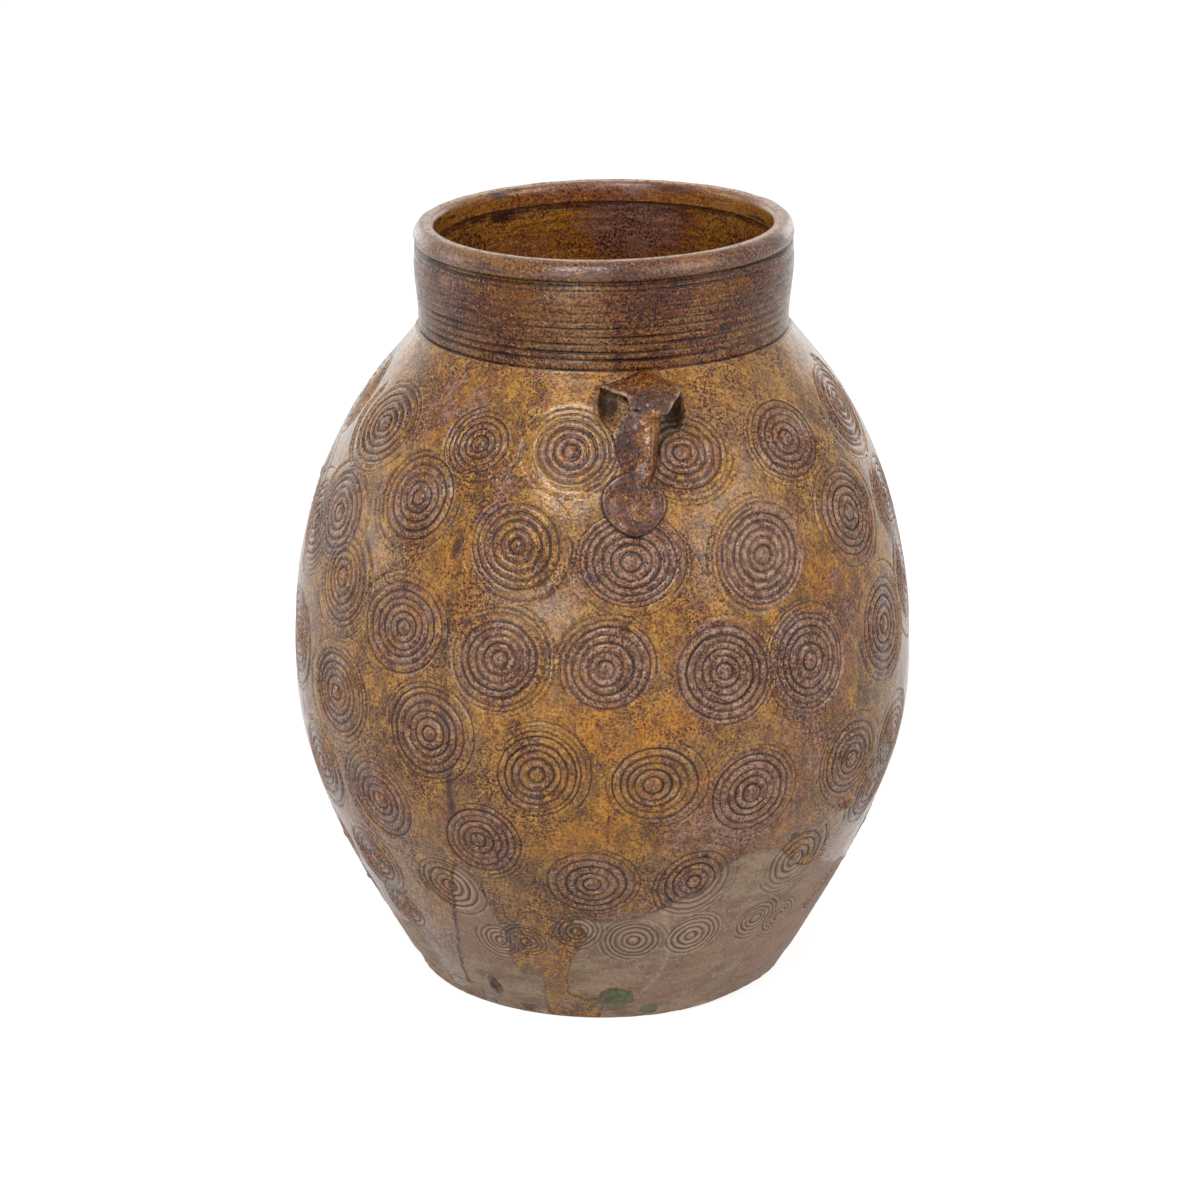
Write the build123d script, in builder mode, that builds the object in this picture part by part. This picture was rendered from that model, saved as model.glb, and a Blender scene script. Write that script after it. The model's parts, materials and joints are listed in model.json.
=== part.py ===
from build123d import *

import os

# Martaban storage jar: a wide-mouthed stoneware jar, thrown and luted together from separate pieces of clay.
#
# The jar stands on Z = 0 with its axis on Z. It is built up as a potter builds it: a floor slab, a wall thrown
# in two halves that meet in a bevelled joint at the belly, a combed neck collar, a rolled rim and two pinched
# strap lugs, each pressed down over its tail with a clay pad. The front lug is on -Y and the rear lug on +Y.

# Heights, each the height of one piece, in millimetres
slab_thickness = 13.0
lower_wall_height = 147.0
upper_wall_height = 164.0
collar_height = 42.0
rim_height = 10.0

# Radii from the jar's axis
foot_radius = 92.0
belly_radius = 150.8
mouth_radius = 80.0

# Floor slab
slab_flare = 6.3
slab_edge_round = 2.5

# Wall
heel_overhang = 0.6
heel_wall = 13.0
heel_fillet = 9.0
belly_wall = 8.5
belly_bevel = 5.0
neck_ledge = 10.0

# Handles of the wall's two curves, as shares of the radius and the height that each curve covers
heel_handle_shares = (0.90, 0.577)
belly_under_share = 0.25
belly_over_share = 0.67
neck_handle_shares = (0.126, 0.09)
search_end_share = 1e-6

# Neck collar and its comb lines
collar_wall = 8.4
collar_flare = 1.9
comb_start = 5.5
comb_pitch = 3.7
comb_width = 1.6
comb_depth = 0.8
comb_line_count = 6
rim_line_drop = 1.8

# Rolled rim, with its outline's points as shares of its width and height
rim_width = 10.4
rim_throat_share = 0.62
rim_inner_via_shares = (0.13, 0.89)
rim_crown_share = 0.44
rim_outer_via_shares = (0.85, 0.82)
rim_bulge_share = 0.34
rim_lower_via_shares = (0.92, 0.10)
rim_under_share = 0.74

# Strap lugs: the ridge that runs down each one stands on this many of these sizes
lug_inset = 2.5
lug_drop = 56.5
lug_standoff = 11.0
lug_lean = 10.0
strap_width = 36.5
strap_fold = 9.0
strap_thickness = 6.0
strap_edge = 2.0
# One row for each station down the strap: how far down it is and how far out from the wall, how far the ridge
# leans sideways, the width left and right of the ridge, how far each side is folded down, and the thickness,
# as shares of the drop, the standoff, the lean, the width, the fold and the thickness
strap_station_shares = (
    (0.00, -0.20, 0.57, 0.11, 0.11, 0.22, 0.22, 0.83),
    (0.05, 0.14, 0.57, 0.40, 0.28, 0.44, 0.33, 0.77),
    (0.11, 0.42, 0.57, 0.58, 0.40, 0.64, 0.44, 0.77),
    (0.17, 0.67, 0.58, 0.51, 0.38, 0.58, 0.42, 0.78),
    (0.23, 0.87, 0.60, 0.36, 0.29, 0.46, 0.34, 0.83),
    (0.30, 0.97, 0.61, 0.28, 0.17, 0.42, 0.30, 0.92),
    (0.37, 0.96, 0.60, 0.28, 0.12, 0.48, 0.32, 1.00),
    (0.45, 0.78, 0.54, 0.40, 0.11, 0.75, 0.45, 1.10),
    (0.53, 0.60, 0.44, 0.47, 0.11, 0.90, 0.54, 1.17),
    (0.62, 0.36, 0.28, 0.40, 0.10, 0.76, 0.50, 1.17),
    (0.70, 0.13, 0.14, 0.33, 0.11, 0.58, 0.46, 1.10),
    (0.79, -0.10, -0.04, 0.26, 0.13, 0.40, 0.36, 1.00),
    (0.89, -0.22, -0.26, 0.20, 0.14, 0.28, 0.28, 0.90),
    (1.00, -0.34, -0.50, 0.16, 0.14, 0.22, 0.22, 0.83),
)
# How far down and across each arched side of the strap its arc passes, as shares of its fold and its width
strap_via_shares = (0.30, 0.52)

# Pads pressed over the lower ends of the straps
pad_radius = 15.2
pad_thickness = 4.0
pad_edge_round = 1.6
pad_dish = 1.2
pad_root = 6.0

# Levels and radii that follow from the sizes above
slab_top = slab_thickness
belly_level = slab_top + lower_wall_height
shoulder_level = belly_level + upper_wall_height
collar_top = shoulder_level + collar_height
slab_top_radius = foot_radius + slab_flare
heel_radius = slab_top_radius + heel_overhang
heel_bore = heel_radius - heel_wall
belly_bore = belly_radius - belly_wall
belly_bore_level = belly_level + belly_bevel
shoulder_radius = mouth_radius + neck_ledge
collar_base_radius = mouth_radius + collar_wall
collar_top_radius = collar_base_radius + collar_flare

os.makedirs("parts", exist_ok=True)


def lower_curve(low, high):
    """The wall's curve from the heel at low up to the belly at high, upright at the belly."""
    gain, rise = high[0] - low[0], high[1] - low[1]
    handle_out, handle_up = heel_handle_shares
    return Bezier(
        low,
        (low[0] + gain * handle_out, low[1] + rise * handle_up),
        (high[0], high[1] - rise * belly_under_share),
        high,
    )


def upper_curve(low, high):
    """The wall's curve from the belly at low up to the neck at high, upright at the belly."""
    loss, rise = low[0] - high[0], high[1] - low[1]
    handle_out, handle_down = neck_handle_shares
    return Bezier(
        low,
        (low[0], low[1] + rise * belly_over_share),
        (high[0] + loss * handle_out, high[1] - rise * handle_down),
        high,
    )


# Floor slab
with BuildPart() as base_slab:
    with BuildSketch(Plane.XZ):
        with BuildLine():
            Polyline(
                (0, 0),
                (foot_radius, 0),
                (slab_top_radius, slab_top),
                (0, slab_top),
                close=True,
            )
        make_face()
    revolve(axis=Axis.Z)
    fillet(base_slab.edges().group_by(Axis.Z)[0], slab_edge_round)
base_slab.part.label = "base_slab"

# Lower half of the wall, with the wiped fillet of clay inside its heel
with BuildPart() as lower_wall:
    with BuildSketch(Plane.XZ):
        with BuildLine():
            lower_curve((heel_radius, slab_top), (belly_radius, belly_level))
            Line((belly_radius, belly_level), (belly_bore, belly_bore_level))
            lower_curve((heel_bore, slab_top + heel_fillet), (belly_bore, belly_bore_level))
            Bezier(
                (heel_bore, slab_top + heel_fillet),
                (heel_bore, slab_top),
                (heel_bore - heel_fillet, slab_top),
            )
            Line((heel_bore - heel_fillet, slab_top), (heel_radius, slab_top))
        make_face()
    revolve(axis=Axis.Z)
lower_wall.part.label = "lower_wall"

# Upper half of the wall, from the bevel at the belly to the ledge that carries the collar
with BuildLine(Plane.XZ) as shoulder_outline:
    upper_curve((belly_radius, belly_level), (shoulder_radius, shoulder_level))

with BuildPart() as upper_wall:
    with BuildSketch(Plane.XZ):
        with BuildLine():
            upper_curve((belly_radius, belly_level), (shoulder_radius, shoulder_level))
            Line((shoulder_radius, shoulder_level), (mouth_radius, shoulder_level))
            upper_curve((belly_bore, belly_bore_level), (mouth_radius, shoulder_level))
            Line((belly_bore, belly_bore_level), (belly_radius, belly_level))
        make_face()
    revolve(axis=Axis.Z)
upper_wall.part.label = "upper_wall"


def collar_point(height, depth):
    """A point of the collar's outline at a height above its seat, at a depth in from its flared side."""
    radius = collar_base_radius + collar_flare * height / collar_height
    return (radius - depth, shoulder_level + height)


# Neck collar: a flared ring, combed round its lower half, with one more line close under the rim
comb_heights = [comb_start + comb_pitch * line for line in range(comb_line_count)]
comb_heights.append(collar_height - rim_line_drop)
collar_side = [collar_point(0, 0)]
for height in comb_heights:
    collar_side.append(collar_point(height - comb_width / 2, 0))
    collar_side.append(collar_point(height, comb_depth))
    collar_side.append(collar_point(height + comb_width / 2, 0))
collar_side.append(collar_point(collar_height, 0))
with BuildPart() as neck_collar:
    with BuildSketch(Plane.XZ):
        with BuildLine():
            Polyline(
                (mouth_radius, shoulder_level),
                *collar_side,
                (mouth_radius, collar_top),
                close=True,
            )
        make_face()
    revolve(axis=Axis.Z)
neck_collar.part.label = "neck_collar"


def rim_point(out_share, up_share):
    """A point of the rim's outline, at shares of its width out from the mouth and of its height."""
    return (mouth_radius + rim_width * out_share, collar_top + rim_height * up_share)


# Rolled rim: a rounded lip that swells out over the collar and runs down into the mouth
rim_seat = rim_point(0, 0)
rim_throat = rim_point(0, rim_throat_share)
rim_crown = rim_point(rim_crown_share, 1)
rim_bulge = rim_point(1, rim_bulge_share)
rim_under = rim_point(rim_under_share, 0)
with BuildPart() as rim_roll:
    with BuildSketch(Plane.XZ):
        with BuildLine():
            Line(rim_seat, rim_throat)
            ThreePointArc(rim_throat, rim_point(*rim_inner_via_shares), rim_crown)
            ThreePointArc(rim_crown, rim_point(*rim_outer_via_shares), rim_bulge)
            ThreePointArc(rim_bulge, rim_point(*rim_lower_via_shares), rim_under)
            Line(rim_under, rim_seat)
        make_face()
    revolve(axis=Axis.Z)
rim_roll.part.label = "rim_roll"

# Everything inside the jar's outer surface above the belly, which the lugs are fitted to
with BuildPart() as jar_envelope:
    with BuildSketch(Plane.XZ):
        with BuildLine():
            upper_curve((belly_radius, belly_level), (shoulder_radius, shoulder_level))
            Polyline(
                (shoulder_radius, shoulder_level),
                (collar_base_radius, shoulder_level),
                (collar_top_radius, collar_top),
                (0, collar_top),
                (0, belly_level),
                (belly_radius, belly_level),
            )
        make_face()
    revolve(axis=Axis.Z)


def wall_plane(level):
    """A plane on the shoulder's surface at a level, on +X, facing straight out, with its x along +Y."""
    outline = shoulder_outline.edge()
    low, high = 0.0, 1.0
    while high - low > search_end_share:
        middle = (low + high) / 2
        low, high = (middle, high) if (outline @ middle).Z < level else (low, middle)
    along = outline % low
    return Plane(outline @ low, x_dir=(0, 1, 0), z_dir=(along.Z, 0, -along.X))


lug_top = shoulder_level - lug_inset


def strap_centre(drop_share, out_share, lean_share):
    """The middle of the strap under its ridge at one station: out from the wall, and off to the side."""
    wall = wall_plane(lug_top - lug_drop * drop_share)
    return wall.origin + wall.z_dir * lug_standoff * out_share + wall.x_dir * lug_lean * lean_share


def strap_section(left, right, left_fold, right_fold, thickness):
    """The strap cut across: two arched sides folded down from a ridge, over an underside folded alike."""
    ridge = thickness / 2
    via_down, via_across = strap_via_shares
    left_eave, right_eave = ridge - left_fold, ridge - right_fold
    ThreePointArc((-left, left_eave), (-left * via_across, ridge - left_fold * via_down), (0, ridge))
    ThreePointArc((0, ridge), (right * via_across, ridge - right_fold * via_down), (right, right_eave))
    Line((right, right_eave), (right, right_eave - strap_edge))
    ThreePointArc(
        (right, right_eave - strap_edge),
        (right * via_across, -ridge - right_fold * via_down * via_across),
        (0, -ridge),
    )
    ThreePointArc(
        (0, -ridge),
        (-left * via_across, -ridge - left_fold * via_down * via_across),
        (-left, left_eave - strap_edge),
    )
    Line((-left, left_eave - strap_edge), (-left, left_eave))


# Strap of one lug on +X: a folded cap, its corners luted to the wall and its beak over the eye, runs down into
# a ridged stem whose left side spreads onto the wall
with BuildLine() as strap_path:
    Spline(*[strap_centre(*station[:3]) for station in strap_station_shares])

strap_spine = strap_path.edge()
with BuildPart() as lug_strap:
    for drop, out, lean, left, right, left_fold, right_fold, thickness in strap_station_shares:
        along = strap_spine.param_at_point(strap_centre(drop, out, lean))
        with BuildSketch(Plane(strap_spine @ along, x_dir=(0, 1, 0), z_dir=strap_spine % along)):
            with BuildLine():
                strap_section(
                    strap_width * left,
                    strap_width * right,
                    strap_fold * left_fold,
                    strap_fold * right_fold,
                    strap_thickness * thickness,
                )
            make_face()
    loft(ruled=True)
    add(jar_envelope.part, mode=Mode.SUBTRACT)

# Pad of one lug on +X: a disc pressed over the strap's tail and dished by the potter's thumb
pad_wall = wall_plane(lug_top - lug_drop + pad_radius / 2)
pad_plane = Plane(pad_wall.origin - pad_wall.x_dir * lug_lean / 2, x_dir=pad_wall.x_dir, z_dir=pad_wall.z_dir)
thumb_radius = (pad_radius**2 + pad_dish**2) / (2 * pad_dish)
with BuildPart() as lug_pad:
    with BuildSketch(pad_plane.offset(-pad_root)):
        Circle(pad_radius)
    extrude(amount=pad_root + pad_thickness)
    pad_back = lug_pad.faces().sort_by(Axis(pad_plane.origin, pad_plane.z_dir))[-1]
    fillet(pad_back.edges(), pad_edge_round)
    with Locations(pad_plane.offset(pad_thickness - pad_dish + thumb_radius)):
        Sphere(thumb_radius, mode=Mode.SUBTRACT)
    add(jar_envelope.part, mode=Mode.SUBTRACT)
    add(lug_strap.part, mode=Mode.SUBTRACT)

lug_pieces = []
for side, turn in (("front", -90), ("rear", 90)):
    for piece, made in (("strap", lug_strap), ("pad", lug_pad)):
        with BuildPart() as placed:
            add(made.part, rotation=(0, 0, turn))
        placed.part.label = f"{side}_lug_{piece}"
        lug_pieces.append(placed)

for made in (base_slab, lower_wall, upper_wall, neck_collar, rim_roll, *lug_pieces):
    export_step(made.part, f"parts/{made.part.label}.step")
    print(made.part.label, round(made.part.volume), "mm3", made.part.bounding_box().size)
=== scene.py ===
import json
import math

import bpy
import numpy as np
from mathutils import Matrix, Vector


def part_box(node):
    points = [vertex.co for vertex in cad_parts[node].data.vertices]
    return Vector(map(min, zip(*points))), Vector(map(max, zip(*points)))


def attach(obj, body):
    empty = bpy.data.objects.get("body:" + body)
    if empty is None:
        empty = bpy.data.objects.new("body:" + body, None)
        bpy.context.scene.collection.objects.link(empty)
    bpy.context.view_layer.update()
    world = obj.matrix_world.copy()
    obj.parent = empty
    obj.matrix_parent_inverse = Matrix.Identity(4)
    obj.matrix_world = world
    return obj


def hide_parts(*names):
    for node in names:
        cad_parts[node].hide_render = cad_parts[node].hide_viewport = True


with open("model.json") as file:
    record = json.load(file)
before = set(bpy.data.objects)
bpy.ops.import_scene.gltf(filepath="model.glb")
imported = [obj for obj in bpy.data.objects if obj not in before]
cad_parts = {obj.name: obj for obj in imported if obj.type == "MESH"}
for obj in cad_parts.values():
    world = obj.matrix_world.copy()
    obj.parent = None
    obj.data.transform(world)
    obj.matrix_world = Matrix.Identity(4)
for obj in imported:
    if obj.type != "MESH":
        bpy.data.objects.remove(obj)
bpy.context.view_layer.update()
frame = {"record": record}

# A stoneware storage jar under a runny ash glaze: combed circles all over the wall, a combed collar, a rolled
# lip and two pinched lugs. Lengths are in millimetres and turned to metres when a mesh is written. Azimuths
# are in degrees, counted from the front towards the right as the photograph shows the jar.

MM = 0.001
front_azimuth = 8.5
seam_azimuth = -80
seed = 41
wave_count = 9


def node_box(node):
    """Lowest and highest corner of a CAD node."""
    low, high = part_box(node)
    return np.array(low) / MM, np.array(high) / MM


mouth_mount = next(m for m in frame["record"]["mounts"] if m["name"] == "mouth_bore")
mouth_radius = mouth_mount["dims"]["r_mm"]
slab_top = node_box("base_slab")[1][2]
slab_top_radius = node_box("base_slab")[1][0]
belly_level = node_box("upper_wall")[0][2]
belly_radius = node_box("upper_wall")[1][0]
belly_bore_level = node_box("lower_wall")[1][2]
neck_level = node_box("neck_collar")[0][2]
collar_top = node_box("neck_collar")[1][2]
lip_level = node_box("rim_roll")[1][2]

foot_flare = 6.3
heel_step = 0.6
heel_thickness = 13
heel_fillet = 9
belly_thickness = 8.5
neck_thickness = 10

foot_radius = slab_top_radius - foot_flare
heel_radius = slab_top_radius + heel_step
heel_bore = heel_radius - heel_thickness
belly_bore = belly_radius - belly_thickness
neck_radius = mouth_radius + neck_thickness

# The wall's two curves, with the same handles as the CAD wall has
heel_handle_shares = (0.90, 0.577)
belly_under_share = 0.25
belly_over_share = 0.67
neck_handle_shares = (0.126, 0.09)


def cubic(low, low_handle, high_handle, high, steps=800):
    """Cubic curve from low to high: the four points weighted by (1-t)^3, 3t(1-t)^2, 3t^2(1-t) and t^3."""
    t = np.linspace(0, 1, steps)[:, None]
    points = np.array([low, low_handle, high_handle, high], float)
    return (
        (1 - t) ** 3 * points[0]
        + 3 * t * (1 - t) ** 2 * points[1]
        + 3 * t**2 * (1 - t) * points[2]
        + t**3 * points[3]
    )


def under_curve(low, high):
    """Radius and level along the wall from the heel up to the belly."""
    gain, rise = high[0] - low[0], high[1] - low[1]
    first = (low[0] + gain * heel_handle_shares[0], low[1] + rise * heel_handle_shares[1])
    return cubic(low, first, (high[0], high[1] - rise * belly_under_share), high)


def over_curve(low, high):
    """Radius and level along the wall from the belly up to the neck."""
    loss, rise = low[0] - high[0], high[1] - low[1]
    last = (high[0] + loss * neck_handle_shares[0], high[1] - rise * neck_handle_shares[1])
    return cubic(low, (low[0], low[1] + rise * belly_over_share), last, high)


def arc_lengths(curve):
    """Length along a curve at each of its points: the sum of the straight steps before it."""
    steps = np.linalg.norm(np.diff(curve, axis=0), axis=1)
    return np.concatenate([[0], np.cumsum(steps)])


def even_points(curve, count):
    """A curve read again at count points the same length apart."""
    along = arc_lengths(curve)
    wanted = np.linspace(0, along[-1], count)
    return np.stack([np.interp(wanted, along, curve[:, k]) for k in range(2)], axis=1)


def outward(curve):
    """Unit normals of a profile that runs upwards, away from the axis: its tangent turned by a quarter."""
    tangent = np.gradient(curve, axis=0)
    normal = np.stack([tangent[:, 1], -tangent[:, 0]], axis=1)
    return normal / np.linalg.norm(normal, axis=1, keepdims=True)


def smooth(values, low, high):
    """0 below low, 1 above high, and 3t^2 - 2t^3 between."""
    t = np.clip((values - low) / (high - low), 0, 1)
    return t * t * (3 - 2 * t)


def hump(distance, width):
    """Bell curve of a distance: exp(-(distance / width)^2)."""
    return np.exp(-((distance / width) ** 2))


def azimuths_round(count):
    """Azimuths at even steps round the jar, from the seam near its left edge in the photograph."""
    return seam_azimuth + 360 * np.arange(count) / count


def wrapped(degrees):
    """Angles in degrees brought between -180 and 180."""
    return (degrees + 180) % 360 - 180


def turned(azimuth, radius, level):
    """Points at an azimuth and a radius from the axis, at a level."""
    angle, radius, level = np.broadcast_arrays(np.radians(azimuth - front_azimuth), radius, level)
    return np.stack([radius * np.sin(angle), -radius * np.cos(angle), level], axis=-1)


def waves(points, size, salt):
    """Smooth noise near -1 to 1: the mean of plane waves about size long, in seeded directions and phases."""
    rng = np.random.default_rng(seed * 1000 + salt)
    total = np.zeros(points.shape[:-1])
    for _ in range(wave_count):
        direction = rng.normal(size=3)
        direction *= 2 * math.pi / (size * rng.uniform(0.7, 1.5) * np.linalg.norm(direction))
        total += np.sin(points @ direction + rng.uniform(0, 2 * math.pi))
    return total / math.sqrt(wave_count)


# The jar warped a little in the kiln: the neck leans, the lip leans more, and the mouth is not quite round
neck_lean = math.tan(math.radians(0.46))
lip_lean = math.tan(math.radians(1.12))
mouth_ovality = 0.45


def warped(points):
    """Points moved up or down by the lean times their place across the photograph, and stretched oval."""
    view = math.radians(front_azimuth)
    across = points[..., 0] * math.cos(view) - points[..., 1] * math.sin(view)
    neck = smooth(points[..., 2], 225, neck_level)
    lip = smooth(points[..., 2], neck_level, collar_top)
    rise = across * (neck * neck_lean + lip * (lip_lean - neck_lean))
    angle = np.arctan2(points[..., 1], points[..., 0])
    oval = 1 + neck * mouth_ovality / mouth_radius * np.cos(2 * angle + 0.7)
    moved = points.copy()
    moved[..., 0] *= oval
    moved[..., 1] *= oval
    moved[..., 2] += rise
    return moved


def grid_quads(rows, columns, row_loop=False):
    """Corner numbers of a turned grid's quads, in the order that faces outwards when its rows climb."""
    index = np.arange(rows * columns).reshape(rows, columns)
    if row_loop:
        index = np.concatenate([index, index[:1]])
    index = np.concatenate([index, index[:, :1]], axis=1)
    corners = (index[:-1, :-1], index[:-1, 1:], index[1:, 1:], index[1:, :-1])
    return np.stack(corners, axis=-1).reshape(-1, 4)


def fan(ring, pole):
    """Triangles that close a ring of vertices with one pole, facing the way that the ring turns."""
    return np.stack([ring, np.roll(ring, -1), np.full(len(ring), pole)], axis=1)


def grid_normals(points):
    """Unit normals of a turned grid: the step round it crossed with the step up it."""
    round_step = np.roll(points, -1, axis=1) - np.roll(points, 1, axis=1)
    up_step = np.gradient(points, axis=0)
    normal = np.cross(round_step, up_step)
    return normal / np.maximum(np.linalg.norm(normal, axis=-1, keepdims=True), 1e-12)


def grid_faces(rows, columns, has_poles, flipped):
    """Faces of a turned grid, closed into a ring by its own first row or shut by a pole at each end."""
    if not has_poles:
        return [grid_quads(rows, columns, row_loop=True)]
    count = rows * columns
    ring = np.arange(columns)
    ends = [fan(ring[::-1], count), fan(ring + count - columns, count + 1)]
    faces = [grid_quads(rows, columns), *ends]
    return [part[:, ::-1] for part in faces] if flipped else faces


def make_piece(name, node, points, fields, normals=None, poles=None, flipped=False):
    """Writes a turned grid of points as a mesh that takes the place of a CAD node.

    A field becomes an attribute of the points: values that spread over the grid, or three such as a vector.
    Poles get the values of the grid's first and last point.
    """
    grid = points.shape[:2]
    mesh = bpy.data.meshes.new(name)
    faces = grid_faces(*grid, poles is not None, flipped)
    corners = np.concatenate([part.ravel() for part in faces])
    counts = np.concatenate([np.full(len(part), part.shape[1]) for part in faces])
    places = points.reshape(-1, 3)
    if poles is not None:
        places = np.concatenate([places, poles])
    mesh.vertices.add(len(places))
    mesh.vertices.foreach_set("co", (places * MM).astype(np.float32).ravel())
    mesh.loops.add(len(corners))
    mesh.loops.foreach_set("vertex_index", corners.astype(np.int32))
    mesh.polygons.add(len(counts))
    starts = np.concatenate([[0], np.cumsum(counts)[:-1]])
    mesh.polygons.foreach_set("loop_start", starts.astype(np.int32))
    mesh.polygons.foreach_set("use_smooth", np.ones(len(counts), bool))
    mesh.update(calc_edges=True)
    for field, values in fields.items():
        if isinstance(values, tuple):
            values = np.stack(np.broadcast_arrays(*values), axis=-1)
        vector = np.ndim(values) == 3
        kind, key = ("FLOAT_VECTOR", "vector") if vector else ("FLOAT", "value")
        flat = np.broadcast_to(values, grid + (3,) * vector).reshape(grid[0] * grid[1], -1)
        if poles is not None:
            flat = np.concatenate([flat, flat[[0, -1]]])
        mesh.attributes.new(field, kind, "POINT").data.foreach_set(key, flat.astype(np.float32).ravel())
    if normals is not None:
        mesh.normals_split_custom_set_from_vertices(normals.reshape(-1, 3).astype(np.float32))
    piece = bpy.data.objects.new(name, mesh)
    bpy.context.scene.collection.objects.link(piece)
    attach(piece, "root")
    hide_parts(node)
    return piece


# Grid of the wall's outer side, fine enough for the combing, and its inner side, row for row coarser
wall_columns = 1152
wall_step = 0.82
bands_per_wall = 3
inner_rows_per_band = 11

azimuths = azimuths_round(wall_columns)
lower_outline = under_curve((heel_radius, slab_top), (belly_radius, belly_level))
upper_outline = over_curve((belly_radius, belly_level), (neck_radius, neck_level))
lower_rows = bands_per_wall * round(arc_lengths(lower_outline)[-1] / wall_step / bands_per_wall)
upper_rows = bands_per_wall * round(arc_lengths(upper_outline)[-1] / wall_step / bands_per_wall)
wall_profile = np.concatenate(
    [even_points(lower_outline, lower_rows + 1), even_points(upper_outline, upper_rows + 1)[1:]]
)
wall_normal = outward(wall_profile)
wall_arc = arc_lengths(wall_profile)
wall_radius, wall_level = wall_profile[:, 0], wall_profile[:, 1]


def arc_at(level):
    """Length up the wall from the heel to a level."""
    return np.interp(level, wall_level, wall_arc)


def wall_at(arc):
    """Radius, level and unit normal of the wall at a length up from the heel."""
    parts = (wall_radius, wall_level, wall_normal[:, 0], wall_normal[:, 1])
    return [np.interp(arc, wall_arc, part) for part in parts]


# Combed circles that the photograph shows: azimuth, level, radius, and how far the clay-brown tint covers it
shown_circles = (
    (-62.5, 290, 24.5, 0.5), (-30, 293, 18, 0.45), (-7.5, 293.5, 20, 0.5), (18.5, 291.5, 22, 0.6),
    (47, 290, 22, 0.7), (77, 291, 24, 0.7),
    (-41.5, 266.5, 24, 0.6), (-16.8, 253, 25.5, 0.35), (5.5, 248, 26, 0.8), (32.3, 245, 26, 0.9),
    (58.3, 251.5, 25, 0.7), (82, 245, 24, 0.6),
    (-76, 235, 24, 0.6), (-57.5, 220.5, 25, 0.4), (-39, 208.5, 25.5, 0.6), (-18.7, 202, 25, 0.65),
    (0.8, 200.5, 25, 0.75), (22.2, 195.5, 25.5, 1.0), (40.5, 192.5, 26, 1.0), (64, 194.5, 25, 0.7),
    (-77, 178, 25, 0.6), (-56.5, 165, 26, 0.6), (-32.2, 161, 25, 0.6), (-11.5, 148.5, 25, 0.4),
    (9.3, 144, 23, 0.25), (27.8, 134, 23.5, 1.0), (52, 136.5, 22, 0.6), (69, 133, 20, 0.5),
    (-67, 120, 22, 0.7), (-45.5, 118, 24, 0.7), (-23.5, 109.5, 23, 0.7), (-2, 90, 22, 0.75),
    (18.5, 88, 20, 0.7), (42.5, 88.5, 21, 0.2),
    (-56, 77, 18, 0.5), (-33, 78, 18.5, 0.4), (-24, 48.5, 13, 0.5), (-17.5, 50, 13, 0.3),
    (-5.5, 59.5, 13, 0.5), (7.3, 53.5, 15, 0), (20.8, 53, 15, 0), (38, 54.5, 14, 0),
    (-52, 50, 14, 0.4), (46.5, 50, 12, 0), (62, 52, 12, 0),
)  # fmt: skip
# Rows of circles on the hidden side: first and last azimuth, how many, level and radius
hidden_rows = (
    (104, 270, 6, 291, 23),
    (106, 294, 8, 250, 25),
    (84, 264, 9, 201, 25),
    (94, 262, 9, 152, 24.5),
    (65, 272, 9, 110, 22.5),
    (78, 286, 11, 78, 18),
    (82, 290, 14, 49, 13),
)


def hidden_circles():
    """Circles for the side that the photograph hides, spaced along each row with a seeded scatter."""
    rng = np.random.default_rng(seed)
    for first, last, count, level, radius in hidden_rows:
        for azimuth in np.linspace(first, last, count):
            scatter = rng.uniform(-1, 1, 3)
            tint = rng.uniform(0.3, 0.9)
            yield azimuth + 2 * scatter[0], level + 4 * scatter[1], radius + 1.2 * scatter[2], tint


def circle_layers(circles):
    """Sorts circles into layers: each goes into the first layer where it overlaps no other."""
    layers = []
    for circle in circles:
        azimuth, level, radius = circle[:3]
        for layer in layers:
            clear = True
            for other_azimuth, other_level, other_radius, _ in layer:
                mean_radius = np.interp((level + other_level) / 2, wall_level, wall_radius)
                across = math.radians(wrapped(azimuth - other_azimuth)) * mean_radius
                upward = arc_at(level) - arc_at(other_level)
                clear &= math.hypot(across, upward) > radius + other_radius + 2 * comb_fine_pitch
            if clear:
                layer.append(circle)
                break
        else:
            layers.append([circle])
    return layers


# The comb: its grooves are about one pitch apart near a circle's middle, and closer and broken near its edge
comb_pitch = 3.8
comb_first = 4.3
comb_fine_pitch = 2.6
comb_whole_share = 0.74
comb_depth = 0.9
comb_groove = 0.9
comb_crest = 0.2
boss_height = 0.5
boss_radius = 2.6
comb_stretch = (0.01, 0.06)
comb_slip = (0.2, 0.7)
comb_waver = 0.16


def comb_rings(rng, radius):
    """Radii of one circle's grooves, how deep each is cut, and how much of its turn is cut."""
    small = min(radius / 20, 1)
    rings, depths, spans = [comb_first * small * rng.uniform(0.85, 1.1)], [1.0], [-2.0]
    while rings[-1] < radius * 1.08:
        whole = rings[-1] < comb_whole_share * radius
        pitch = comb_pitch * small if whole else comb_fine_pitch
        rings.append(rings[-1] + pitch * rng.uniform(0.82, 1.16))
        depths.append(rng.uniform(0.75, 1.05) if whole else rng.uniform(0.5, 0.9))
        spans.append(-2.0 if whole else rng.uniform(-0.6, 0.5))
    return np.array(rings), np.array(depths), np.array(spans)


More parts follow.
